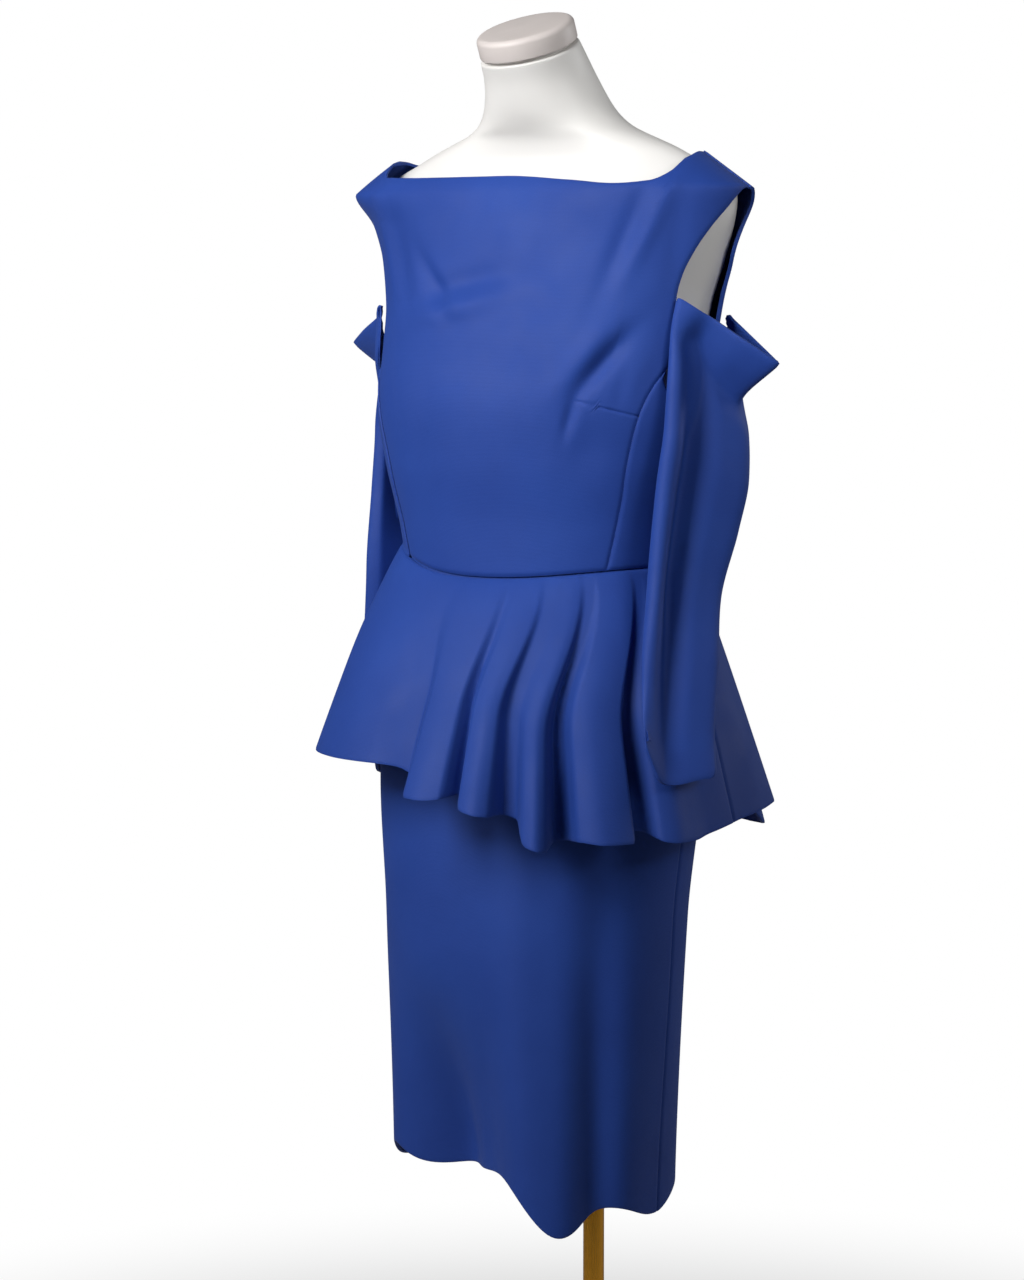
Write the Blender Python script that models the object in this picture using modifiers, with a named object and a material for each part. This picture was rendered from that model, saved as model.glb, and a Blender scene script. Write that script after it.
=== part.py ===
"""An off-shoulder dress with a peplum and loose sleeves, worn by a limbless dress form on a pole.

Metres, +Z up. The origin is on the floor at the pole's axis, and the dress faces -Y.
A height on the dress is a drop below the shoulder tips, and a turn is the angle round
the body from the centre front towards the wearer's left (+X).
"""

import math
from collections import namedtuple

import bmesh
import bpy
import numpy as np
from mathutils import Matrix, Vector

# Driving dimensions
SHOULDER_HEIGHT = 1.420
CLOTH = 0.0018
SEAM_GAP = 0.0003
LAYER_GAP = 0.0005
SLEEVE_GAP = 0.0009
BODY_MIDDLE = -0.085
SHOULDER_TIP = 0.217
SHOULDER_SPREAD = 1.36
NECK_END_DROP = -0.036
NECK_END = 1 + NECK_END_DROP * SHOULDER_SPREAD / SHOULDER_TIP
WAIST_SIDE = 0.339
WAIST_TILT = 0.006
WAIST_FRONT = 0.3575
WAIST_BACK = 0.350
UNDERARM_DROP = 0.205
ARMHOLE_END_DROP = 0.160
SHOULDER_TILT = 0.0055
TILT_FADES_AT = 0.25
SHOULDER_RISE = 0.0055
RISE_FADES_AT = 0.08

# The peplum's and the skirt's own middle, a little behind the bodice's front
PEPLUM_MIDDLE = -0.100
SKIRT_MIDDLE = -0.105
SKIRT_FREE_DROP = 0.430
HEM_DROP = 0.938

# The form and its stand
FORM_CAP_RADIUS = 0.047
FORM_CAP_THICKNESS = 0.020
FORM_CAP_MIDDLE = Vector((0.0, -0.1255, 1.5665))
FORM_CAP_TILT = math.radians(25)
FORM_GROOVE = 0.0028
FORM_STEM_RADIUS = 0.041
POLE_RADIUS = 0.0105
BASE_RADIUS = 0.200
BASE_THICKNESS = 0.010
SOCKET_RADIUS = 0.022
SOCKET_HEIGHT = 0.035

# Rings round the body, each a rounded box: tuck is how much narrower the wearer's right is,
# and twist the degrees that the right flank is pulled back by its strap
Ring = namedtuple("Ring", "drop half_width front back squareness tuck twist")
BODY_RINGS = (
    Ring(-0.036, 0.168, 0.064, 0.050, 2.20, 0.000, 0),
    Ring(-0.015, 0.1965, 0.080, 0.060, 2.20, 0.000, 0),
    Ring(0.000, 0.217, 0.088, 0.066, 2.15, 0.000, 0),
    Ring(0.030, 0.212, 0.094, 0.073, 2.10, 0.010, 6),
    Ring(0.060, 0.203, 0.098, 0.079, 2.15, 0.014, 7),
    Ring(0.100, 0.190, 0.106, 0.084, 2.20, 0.013, 5),
    Ring(0.140, 0.183, 0.115, 0.086, 2.20, 0.008, 3),
    Ring(0.200, 0.180, 0.121, 0.086, 2.25, 0.004, 0),
    Ring(0.250, 0.171, 0.117, 0.086, 2.20, 0.002, 0),
    Ring(0.310, 0.154, 0.108, 0.088, 2.20, 0.000, 0),
    Ring(0.370, 0.143, 0.104, 0.093, 2.20, 0.000, 0),
)
SkirtRing = namedtuple("SkirtRing", "drop half_width front back squareness back_squareness")
SKIRT_RINGS = (
    SkirtRing(0.340, 0.142, 0.084, 0.112, 2.2, 2.20),
    SkirtRing(0.380, 0.148, 0.090, 0.122, 2.2, 2.15),
    SkirtRing(0.430, 0.156, 0.102, 0.134, 2.2, 2.10),
    SkirtRing(0.550, 0.163, 0.112, 0.148, 2.2, 1.90),
    SkirtRing(0.680, 0.151, 0.118, 0.148, 2.3, 1.75),
    SkirtRing(0.800, 0.146, 0.115, 0.149, 2.4, 1.68),
    SkirtRing(0.960, 0.142, 0.111, 0.150, 2.5, 1.65),
)

# Where the front and back panels end, as a half width at each drop: a seam below the
# armhole and a free edge beside it
Edge = namedtuple("Edge", "drop front back")
PANEL_EDGES = (
    Edge(0.000, 0.217, 0.217),
    Edge(0.014, 0.210, 0.209),
    Edge(0.032, 0.202, 0.200),
    Edge(0.056, 0.194, 0.190),
    Edge(0.078, 0.184, 0.182),
    Edge(0.099, 0.1775, 0.176),
    Edge(0.130, 0.172, 0.171),
    Edge(0.160, 0.165, 0.165),
    Edge(0.180, 0.156, 0.155),
    Edge(0.207, 0.146, 0.143),
    Edge(0.250, 0.134, 0.127),
    Edge(0.281, 0.127, 0.118),
    Edge(0.300, 0.122, 0.112),
    Edge(0.370, 0.105, 0.098),
)
# Drop of each neckline at a share of the tip's half width, from the wearer's right to left
Neck = namedtuple("Neck", "share drop")
FRONT_NECKLINE = (
    Neck(-NECK_END, NECK_END_DROP),
    Neck(-0.70, -0.0165),
    Neck(-0.45, -0.0150),
    Neck(0.00, -0.0150),
    Neck(0.32, -0.0100),
    Neck(0.55, -0.0065),
    Neck(0.70, -0.0120),
    Neck(NECK_END, NECK_END_DROP),
)
BACK_NECKLINE = (
    Neck(-NECK_END, NECK_END_DROP),
    Neck(-0.60, -0.0160),
    Neck(0.00, -0.0060),
    Neck(0.60, -0.0160),
    Neck(NECK_END, NECK_END_DROP),
)
# Drops of the rows of points up the panels' edges, from the waist to the shoulder tip
SEAM_ROWS = (WAIST_SIDE, 0.322, 0.290, 0.255, 0.225, 0.200, 0.180, 0.160)
ARMHOLE_ROWS = (0.130, 0.099, 0.075, 0.050, 0.027, 0.012, 0.003, 0.000)
FRONT_SHARES = (0.0, 0.10, 0.21, 0.32, 0.43, 0.54, 0.65, NECK_END, 0.84, 0.92, 1.0)
BACK_SHARES = (0.0, 0.14, 0.28, 0.42, 0.54, 0.65, NECK_END, 0.84, 0.92, 1.0)
SIDE_COLUMNS = 8

# Folds on the front: the middle of each, its half length and half width, its lean from
# upright towards the wearer's left, and how far it stands out
Fold = namedtuple("Fold", "x drop length width lean rise")
FRONT_FOLDS = (
    Fold(0.130, 0.162, 0.042, 0.014, 45, -0.0070),
    Fold(0.100, 0.150, 0.048, 0.016, 45, 0.0040),
    Fold(0.078, 0.212, 0.022, 0.014, 45, -0.0030),
    Fold(-0.040, 0.115, 0.060, 0.018, 90, 0.0035),
    Fold(-0.090, 0.085, 0.040, 0.016, -25, -0.0030),
    Fold(-0.165, 0.045, 0.045, 0.014, -20, 0.0030),
    Fold(0.155, 0.045, 0.060, 0.022, 30, 0.0025),
)

# Flutes of the peplum: the turn of each crest, how far it stands out from the mean flare,
# the drop of its hem, and the turn and depth of the hollow after it
Flute = namedtuple("Flute", "turn rise drop hollow sink")
FLUTES = (
    Flute(-160, 0.014, 0.602, -147, 0.014),
    Flute(-133, 0.016, 0.592, -119, 0.014),
    Flute(-105, 0.018, 0.572, -90, 0.010),
    Flute(-72, 0.012, 0.530, -63, 0.000),
    Flute(-46, 0.014, 0.527, -14, 0.012),
    Flute(1, 0.014, 0.553, 8, 0.008),
    Flute(16, 0.017, 0.563, 24, 0.014),
    Flute(32, 0.022, 0.593, 39, 0.022),
    Flute(51, 0.018, 0.590, 62, 0.014),
    Flute(73, 0.011, 0.592, 88, 0.000),
    Flute(106, 0.020, 0.567, 119, 0.006),
    Flute(132, 0.012, 0.603, 145, 0.014),
    Flute(158, 0.014, 0.617, 170, 0.012),
    Flute(181, 0.012, 0.606, 191, 0.012),
)
FLARE_SIDE = 0.206
FLARE_FRONT = 0.194
FLARE_BACK = 0.212
PEPLUM_ROWS = 9
HOLLOW_LIFT = 0.010

# Dents of the skirt's hem: the turn of each, its width, its depth, how far it lifts the
# hem, and the drop at which it starts
Dent = namedtuple("Dent", "turn width depth lift start")
SKIRT_DENTS = (
    Dent(-18, 22, 0.056, 0.015, 0.700),
    Dent(-57, 17, 0.000, 0.026, 0.700),
    Dent(10, 14, 0.000, 0.021, 0.700),
    Dent(36, 17, -0.010, -0.028, 0.640),
    Dent(90, 22, 0.008, -0.020, 0.700),
    Dent(150, 22, 0.010, -0.006, 0.700),
    Dent(-125, 24, 0.008, -0.006, 0.700),
)
SKIRT_ROWS = 13

# The sleeve's rings from its open top edge to its cuff. Each corner is x, y and drop:
# front and back where it leaves the body, outer at its hanging fold, under at the body.
Sleeve = namedtuple("Sleeve", "front outer back under ridge dip")
SLEEVE_RINGS = (
    Sleeve((0.166, -0.145, 0.094), (0.275, -0.106, 0.166), (0.176, -0.034, 0.116),
           (0.187, -0.085, 0.205), 0.000, 0.000),
    Sleeve((0.169, -0.150, 0.128), (0.217, -0.090, 0.192), (0.180, -0.038, 0.150),
           (0.187, -0.085, 0.222), 0.004, 0.000),
    Sleeve((0.169, -0.156, 0.160), (0.227, -0.088, 0.222), (0.182, -0.044, 0.185),
           (0.187, -0.085, 0.245), 0.006, 0.000),
    Sleeve((0.165, -0.165, 0.210), (0.228, -0.091, 0.266), (0.180, -0.053, 0.235),
           (0.182, -0.088, 0.275), 0.008, 0.000),
    Sleeve((0.160, -0.170, 0.270), (0.221, -0.098, 0.316), (0.174, -0.063, 0.290),
           (0.170, -0.095, 0.305), 0.009, 0.000),
    Sleeve((0.157, -0.176, 0.350), (0.209, -0.113, 0.376), (0.170, -0.078, 0.362),
           (0.158, -0.112, 0.360), 0.010, 0.000),
    Sleeve((0.160, -0.190, 0.410), (0.211, -0.130, 0.436), (0.176, -0.096, 0.430),
           (0.166, -0.128, 0.425), 0.010, 0.006),
    Sleeve((0.170, -0.207, 0.462), (0.219, -0.147, 0.490), (0.188, -0.114, 0.486),
           (0.180, -0.152, 0.476), 0.010, 0.018),
    Sleeve((0.183, -0.222, 0.496), (0.228, -0.160, 0.531), (0.200, -0.130, 0.532),
           (0.193, -0.172, 0.512), 0.010, 0.037),
)
SLEEVE_SPANS = (11, 8, 6, 7)
RIDGE_SHARE = 0.30
VALLEY_SHARE = 0.58
FOLD_SHARE = 0.13
SLEEVE_SMOOTHING = 3
# The outer half of a sleeve stands this much clear of its half along the body
SLEEVE_HOLLOW = 0.014
# The right sleeve hangs further back, its open corner first and its cuff most of all, and
# a little closer to the body at the elbow
RIGHT_SQUEEZE = 0.060
RIGHT_SWING = math.radians(11)
RIGHT_CUFF_SWING = math.radians(36)
RIGHT_LIFT = 0.026
PEPLUM_CLEARANCE = 0.004

# The form's rings: height, half width, where its front and back lie, and its squareness
FormRing = namedtuple("FormRing", "z half_width front back squareness")
FORM_RINGS = (
    FormRing(0.720, 0.118, -0.172, 0.016, 2.1),
    FormRing(0.740, 0.128, -0.182, 0.020, 2.1),
    FormRing(0.810, 0.142, -0.196, 0.022, 2.1),
    FormRing(0.880, 0.150, -0.200, 0.022, 2.1),
    FormRing(0.960, 0.142, -0.188, 0.012, 2.1),
    FormRing(1.020, 0.128, -0.172, 0.000, 2.1),
    FormRing(1.070, 0.124, -0.168, -0.010, 2.1),
    FormRing(1.130, 0.138, -0.178, -0.012, 2.1),
    FormRing(1.190, 0.156, -0.190, -0.014, 2.1),
    FormRing(1.230, 0.164, -0.191, -0.014, 2.1),
    FormRing(1.280, 0.168, -0.180, -0.014, 2.1),
    FormRing(1.320, 0.171, -0.166, -0.018, 2.1),
    FormRing(1.350, 0.182, -0.156, -0.022, 2.1),
    FormRing(1.380, 0.193, -0.148, -0.028, 2.1),
    FormRing(1.405, 0.199, -0.140, -0.034, 2.1),
    FormRing(1.422, 0.198, -0.132, -0.039, 2.1),
    FormRing(1.433, 0.187, -0.127, -0.043, 2.1),
    FormRing(1.443, 0.1715, -0.123, -0.047, 2.1),
    FormRing(1.4525, 0.157, -0.121, -0.048, 2.1),
    FormRing(1.463, 0.144, -0.123, -0.043, 2.1),
    FormRing(1.473, 0.122, -0.126, -0.034, 2.1),
)
# The neck's rings: the middle's place, the radius across and front to back, and the tilt
NeckRing = namedtuple("NeckRing", "y z half_width depth tilt")
NECK_RINGS = (
    NeckRing(-0.081, 1.484, 0.094, 0.052, 3),
    NeckRing(-0.086, 1.496, 0.073, 0.053, 8),
    NeckRing(-0.092, 1.509, 0.060, 0.053, 13),
    NeckRing(-0.101, 1.526, 0.053, 0.051, 19),
    NeckRing(-0.110, 1.541, 0.049, 0.0485, 24),
)
FORM_COLUMNS = 36
FORM_SHIFT = 0.004

BLUE = (0.055, 0.100, 0.400, 1.0)
WHITE = (0.780, 0.760, 0.730, 1.0)
WARM_GREY = (0.600, 0.540, 0.510, 1.0)
BRASS = (0.800, 0.560, 0.240, 1.0)


class Curve:
    """A smooth curve through values at rising keys, which never overshoots them."""

    def __init__(self, keys, values):
        self.keys = np.array(keys, float)
        self.values = np.array(values, float)
        steps = np.diff(self.keys)
        slopes = np.diff(self.values) / steps
        self.slopes = np.concatenate([slopes[:1], np.zeros(len(keys) - 2), slopes[-1:]])
        for i in range(1, len(keys) - 1):
            before, after = slopes[i - 1], slopes[i]
            if before * after > 0:
                self.slopes[i] = 2 * before * after / (before + after)

    def __call__(self, key):
        key = min(max(key, self.keys[0]), self.keys[-1])
        i = min(int(np.searchsorted(self.keys, key, side="right")) - 1, len(self.keys) - 2)
        step = self.keys[i + 1] - self.keys[i]
        t = (key - self.keys[i]) / step
        start = self.values[i] + self.slopes[i] * step * t * (1 - t) ** 2
        end = self.values[i + 1] - self.slopes[i + 1] * step * (1 - t) * t**2
        blend = t * t * (3 - 2 * t)
        low, high = self.values[i], self.values[i + 1]
        return float(low + (high - low) * blend + (start - low) + (end - high))


def curves_of(rows):
    """One curve for each column of a table, read at the table's first column."""
    keys = [row[0] for row in rows]
    names = rows[0]._fields[1:]
    columns = namedtuple("Columns", names)
    return columns(*(Curve(keys, [getattr(row, name) for row in rows]) for name in names))


BODY = curves_of(BODY_RINGS)
SKIRT = curves_of(SKIRT_RINGS)
EDGE = curves_of(PANEL_EDGES)
FRONT_NECK = curves_of(FRONT_NECKLINE).drop
BACK_NECK = curves_of(BACK_NECKLINE).drop


def smooth_step(low, high, value):
    t = min(max((value - low) / (high - low), 0.0), 1.0)
    return t * t * (3 - 2 * t)


def on_ring(turn, half_width, front, back, squareness):
    """A point of a rounded ring, from its middle."""
    power = 2 / squareness
    side, ahead = math.sin(turn), math.cos(turn)
    depth = front if ahead > 0 else back
    x = half_width * math.copysign(abs(side) ** power, side)
    return x, -depth * math.copysign(abs(ahead) ** power, ahead)


def waist_drop(turn):
    """The waist seam's drop: lower at the front and back, and at the wearer's left side."""
    middle = WAIST_FRONT if math.cos(turn) > 0 else WAIST_BACK
    side = WAIST_SIDE + WAIST_TILT * math.sin(turn)
    return side + (middle - side) * (1 - abs(math.sin(turn)) ** 3)


def body_half_width(drop):
    if drop < 0:
        return SHOULDER_TIP + SHOULDER_SPREAD * drop
    return BODY.half_width(drop)


def front_folds(x, drop):
    """How far the folds move the front out at a half width and drop."""
    rise = 0.0
    for fold in FRONT_FOLDS:
        lean = math.radians(fold.lean)
        across = (x - fold.x) * math.cos(lean) + (drop - fold.drop) * math.sin(lean)
        along = (x - fold.x) * math.sin(lean) - (drop - fold.drop) * math.cos(lean)
        rise += fold.rise * math.exp(-((across / fold.width) ** 2) - (along / fold.length) ** 2)
    return rise


def shoulder_tilt(x, drop):
    """How much lower a point hangs for the tilted shoulders and their raised tips."""
    out = x / SHOULDER_TIP
    tilt = SHOULDER_TILT * (1 - smooth_step(0, TILT_FADES_AT, drop)) * out
    return tilt - SHOULDER_RISE * (1 - smooth_step(0, RISE_FADES_AT, drop)) * min(out**2, 1.0)


def body_ring(turn, drop):
    """X and Y of the bodice's outer face, from the body's middle, without its folds."""
    half_width = body_half_width(drop)
    x, y = on_ring(turn, half_width, BODY.front(drop), BODY.back(drop), BODY.squareness(drop))
    if x < 0:
        x *= 1 - BODY.tuck(drop) / half_width
        twist = math.radians(BODY.twist(drop)) * math.sin(turn) ** 2
        x, y = x * math.cos(twist) + y * math.sin(twist), y * math.cos(twist) - x * math.sin(twist)
    return x, y


def body(turn, drop):
    """A point of the bodice's outer face."""
    x, y = body_ring(turn, drop)
    if math.cos(turn) > 0:
        rise = front_folds(x, drop) * math.cos(turn)
        x, y = x + rise * math.sin(turn), y - rise * math.cos(turn)
    return Vector((x, y + BODY_MIDDLE, SHOULDER_HEIGHT - drop - shoulder_tilt(x, drop)))


def turn_at(x, drop):
    """The turn at which the bodice's front half has this half width."""
    share = min(abs(x) / body_half_width(drop), 1.0)
    return math.copysign(math.asin(share ** (BODY.squareness(drop) / 2)), x)


def skirt(turn, drop):
    """A point of the skirt's outer face, from just inside the peplum's top edge to its dented hem."""
    squareness = SKIRT.squareness(drop) if math.cos(turn) > 0 else SKIRT.back_squareness(drop)
    x, y = on_ring(turn, SKIRT.half_width(drop), SKIRT.front(drop), SKIRT.back(drop), squareness)
    y += SKIRT_MIDDLE
    inset = CLOTH + LAYER_GAP
    top_x, top_y = body_ring(turn, waist_drop(turn))
    top_x, top_y = top_x - inset * math.sin(turn), top_y + inset * math.cos(turn) + BODY_MIDDLE
    share = smooth_step(waist_drop(turn), SKIRT_FREE_DROP, drop)
    x, y = top_x + (x - top_x) * share, top_y + (y - top_y) * share
    lift = 0.0
    for dent in SKIRT_DENTS:
        away = (math.degrees(turn) - dent.turn + 180) % 360 - 180
        share = math.exp(-((away / dent.width) ** 2)) * smooth_step(dent.start, HEM_DROP, drop)
        x -= dent.depth * share * math.sin(turn)
        y += dent.depth * share * math.cos(turn)
        lift += dent.lift * share
    return Vector((x, y, SHOULDER_HEIGHT - drop + lift))


def flute_keys():
    """Turn, reach and hem drop of each crest and of the hollow after it, once round and a bit more."""
    keys = []
    for i, flute in enumerate(FLUTES):
        after = FLUTES[(i + 1) % len(FLUTES)]
        keys.append((flute.turn, flute.rise, flute.drop))
        keys.append((flute.hollow, -flute.sink, (flute.drop + after.drop) / 2 - HOLLOW_LIFT))
    before = [(turn - 360, rise, drop) for turn, rise, drop in keys[-3:]]
    after = [(turn + 360, rise, drop) for turn, rise, drop in keys[:3]]
    return before + keys + after


FLUTE_KEYS = flute_keys()
FLUTE_RISE = Curve([key[0] for key in FLUTE_KEYS], [key[1] for key in FLUTE_KEYS])
FLUTE_DROP = Curve([key[0] for key in FLUTE_KEYS], [key[2] for key in FLUTE_KEYS])


def turned(angle):
    """The angle in degrees, between -180 and 180."""
    return (math.degrees(angle) + 180) % 360 - 180


def peplum_waist(turn):
    """X and Y of the peplum's top edge, from the peplum's middle."""
    x, y = body_ring(turn, waist_drop(turn))
    return Vector((x, y + BODY_MIDDLE - PEPLUM_MIDDLE))


def peplum_reach(turn, share):
    """Distance of the peplum from its middle, at a share of its length from the waist."""
    waist = peplum_waist(turn).length
    ahead = math.cos(turn)
    deep = FLARE_FRONT if ahead > 0 else FLARE_BACK
    mean = FLARE_SIDE + (deep - FLARE_SIDE) * ahead**2
    return waist + (mean - waist) * share**0.72 + FLUTE_RISE(turned(turn)) * share**1.35


def peplum(turn, share):
    """A point of the peplum's outer face."""
    top = waist_drop(turn) + SEAM_GAP
    drop = top + (FLUTE_DROP(turned(turn)) - top) * share
    # The top edge keeps the bodice's own turn, which isn't the plain angle round the middle
    plain = Vector((math.sin(turn), -math.cos(turn)))
    heading = peplum_waist(turn).normalized().lerp(plain, smooth_step(0, 0.6, share)).normalized()
    place = heading * peplum_reach(turn, share)
    return Vector((place.x, place.y + PEPLUM_MIDDLE, SHOULDER_HEIGHT - drop))


def normal_at(surface, u, v, step=1e-4):
    """The outward normal of a surface of a turn and a drop or share."""
    along = surface(u + step, v) - surface(u - step, v)
    down = surface(u, v + step) - surface(u, v - step)
    return down.cross(along).normalized()


def skins(surface, grid):
    """The outer and inner points of a cloth wall on a surface, for a grid of its two values."""
    outer = [[surface(u, v) for u, v in row] for row in grid]
    inner = [
        [point - CLOTH * normal_at(surface, u, v) for point, (u, v) in zip(points, row)]
        for points, row in zip(outer, grid)
    ]
    return outer, inner


def drawn_in(points, first=True, last=True):
    """The rows of points with their end points moved in along the row by half the seam's gap."""
    moved = []
    for row in points:
        row = list(row)
        if first:
            row[0] = row[0] + (row[1] - row[0]).normalized() * SEAM_GAP / 2
        if last:
            row[-1] = row[-1] + (row[-2] - row[-1]).normalized() * SEAM_GAP / 2
        moved.append(row)
    return moved


def columns_of(points):
    return [list(column) for column in zip(*points)]


def material(name, colour, roughness, metallic=0.0, sheen=0.0):
    made = bpy.data.materials.new(name)
    made.use_nodes = True
    shader = made.node_tree.nodes["Principled BSDF"]
    shader.inputs["Base Color"].default_value = colour
    shader.inputs["Roughness"].default_value = roughness
    shader.inputs["Metallic"].default_value = metallic
    shader.inputs["Sheen Weight"].default_value = sheen
    made.diffuse_color = colour
    return made


def cloth_material(name):
    return material(name, BLUE, roughness=0.75, sheen=0.3)


def add_object(name, bm, made_of, parts, smooth=True):
    """Puts a bmesh into the scene as one named object, its faces pointing out."""
    bmesh.ops.recalc_face_normals(bm, faces=bm.faces)
    mesh = bpy.data.meshes.new(name)
    bm.to_mesh(mesh)
    bm.free()
    if smooth:
        mesh.shade_smooth()
        mesh.set_sharp_from_angle(angle=math.radians(50))
    mesh.materials.append(made_of)
    made = bpy.data.objects.new(name, mesh)
    parts.objects.link(made)
    return made


def add_wall(name, outer, inner, parts, around=False):
    """A cloth wall between two equal grids of points, closed along its rims."""
    bm = bmesh.new()
    skin, lining = ([[bm.verts.new(p) for p in row] for row in grid] for grid in (outer, inner))
    rows, columns = len(outer), len(outer[0])
    spans = [(i, (i + 1) % columns) for i in range(columns if around else columns - 1)]
    for j in range(rows - 1):
        for i, k in spans:
            bm.faces.new((skin[j][i], skin[j][k], skin[j + 1][k], skin[j + 1][i]))
            bm.faces.new((lining[j][i], lining[j + 1][i], lining[j + 1][k], lining[j][k]))
    for j in (0, rows - 1):
        for i, k in spans:
            bm.faces.new((skin[j][i], skin[j][k], lining[j][k], lining[j][i]))
    for i in () if around else (0, columns - 1):
        for j in range(rows - 1):
            bm.faces.new((skin[j][i], skin[j + 1][i], lining[j + 1][i], lining[j][i]))
    return add_object(name, bm, cloth_material(name), parts)


def panel_grid(shares, edge, neck, turn_of):
    """Turns and drops of a front or back panel, a row for each level from the waist to the top."""
    tip_rows = SEAM_ROWS + ARMHOLE_ROWS
    grid = []
    for level in tip_rows:
        risen = 1 - level / tip_rows[0]
        row = []
        for share in shares:
            if abs(share) > NECK_END:
                top = (abs(share) - 1) * SHOULDER_TIP / SHOULDER_SPREAD
            else:
                top = neck(share)
            waist = waist_drop(turn_of(share * edge(WAIST_SIDE), WAIST_SIDE))
            drop = waist + (top - waist) * risen
            row.append((turn_of(share * edge(drop), drop), drop))
        grid.append(row)
    return grid


def front_turn(x, drop):
    return turn_at(x, drop)


def back_turn(x, drop):
    return math.copysign(math.pi, x) - turn_at(x, drop)


def finish_top(points):
    """The panel's points with its shoulder seam drawn in."""
    return columns_of(drawn_in(columns_of(points), first=False))


def add_front(parts):
    shares = [-share for share in FRONT_SHARES[:0:-1]] + list(FRONT_SHARES)
    outer, inner = skins(body, panel_grid(shares, EDGE.front, FRONT_NECK, front_turn))
    outer, inner = (finish_top(drawn_in(points)) for points in (outer, inner))
    add_wall("bodice_front", outer, inner, parts)


def add_back(name, side, parts):
    shares = [side * max(share, 1e-9) for share in BACK_SHARES]
    outer, inner = skins(body, panel_grid(shares, EDGE.back, BACK_NECK, back_turn))
    outer, inner = (finish_top(drawn_in(points)) for points in (outer, inner))
    add_wall(name, outer, inner, parts)


def side_grid(side):
    """Turns and drops of a side panel, from its front seam to its back seam and up to the underarm."""
    tip_rows = SEAM_ROWS[-1]
    grid = []
    for level in SEAM_ROWS:
        risen = (SEAM_ROWS[0] - level) / (SEAM_ROWS[0] - tip_rows)
        row = []
        for column in range(SIDE_COLUMNS):
            share = column / (SIDE_COLUMNS - 1)
            # The waist and the armhole are both a little different at the front, the side and the back
            front_seam = front_turn(EDGE.front(WAIST_SIDE), WAIST_SIDE)
            back_seam = back_turn(EDGE.back(WAIST_SIDE), WAIST_SIDE)
            at_waist = [side * turn for turn in (front_seam, back_seam)]
            ends = [waist_drop(turn) * level / SEAM_ROWS[0] for turn in at_waist]
            between = waist_drop(at_waist[0] + (at_waist[1] - at_waist[0]) * share)
            top = [waist_drop(turn) * tip_rows / SEAM_ROWS[0] for turn in at_waist]
            sag = (UNDERARM_DROP - ARMHOLE_END_DROP) * math.sin(math.pi * share) ** 0.8
            underarm = top[0] + (top[1] - top[0]) * share + sag
            drop = between + (underarm - between) * risen
            if column == 0:
                drop = ends[0]
            if column == SIDE_COLUMNS - 1:
                drop = ends[1]
            start, end = front_turn(EDGE.front(drop), drop), back_turn(EDGE.back(drop), drop)
            row.append((side * (start + (end - start) * share), drop))
        grid.append(row)
    return grid


def add_side(name, side, parts):
    outer, inner = (drawn_in(points) for points in skins(body, side_grid(side)))
    add_wall(name, outer, inner, parts)


def fluted_turns(start, end, count):
    return [math.radians(start + (end - start) * i / (count - 1)) for i in range(count)]


def add_peplum(name, start, end, count, parts):
    shares = [i / (PEPLUM_ROWS - 1) for i in range(PEPLUM_ROWS)]
    grid = [[(turn, max(share, 1e-3)) for turn in fluted_turns(start, end, count)] for share in shares]
    outer, inner = (drawn_in(points) for points in skins(peplum, grid))
    add_wall(name, outer, inner, parts)


def add_skirt(name, start, end, count, parts):
    grid = []
    for i in range(SKIRT_ROWS):
        row = []
        for turn in fluted_turns(start, end, count):
            top = waist_drop(turn) + SEAM_GAP
            row.append((turn, top + (HEM_DROP - top) * i / (SKIRT_ROWS - 1)))
        grid.append(row)
    outer, inner = (drawn_in(points) for points in skins(skirt, grid))
    add_wall(name, outer, inner, parts)


def clear_of_ring(place, middle, reach, gap):
    """The place moved out from the middle until it lies the gap outside the reach."""
    away = Vector((place.x, place.y - middle))
    if away.length < reach + gap:
        away = away.normalized() * (reach + gap)
    return Vector((away.x, away.y + middle, place.z))


def clear_of_dress(place, hollow):
    """A sleeve's point moved out of the bodice or the peplum, and as far as its hollow from them."""
    drop = SHOULDER_HEIGHT - place.z
    if drop < WAIST_SIDE:
        x, y = place.x, place.y - BODY_MIDDLE
        half_width, squareness = body_half_width(drop), BODY.squareness(drop)
        if x < 0:
            half_width -= BODY.tuck(drop)
        depth = BODY.front(drop) if y < 0 else BODY.back(drop)
        inside = abs(x / half_width) ** squareness + abs(y / depth) ** squareness
        reach = math.hypot(x, y) * inside ** (-1 / squareness)
        place = clear_of_ring(place, BODY_MIDDLE, reach, SLEEVE_GAP + hollow)
    turn = math.atan2(place.x, PEPLUM_MIDDLE - place.y)
    top = waist_drop(turn)
    share = (drop - top) / (FLUTE_DROP(turned(turn)) - top)
    if share > 0:
        gap = SLEEVE_GAP + (PEPLUM_CLEARANCE - SLEEVE_GAP) * min(share * 4, 1.0)
        place = clear_of_ring(place, PEPLUM_MIDDLE, peplum_reach(turn, min(share, 1.0)), gap + hollow)
    return place


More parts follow.
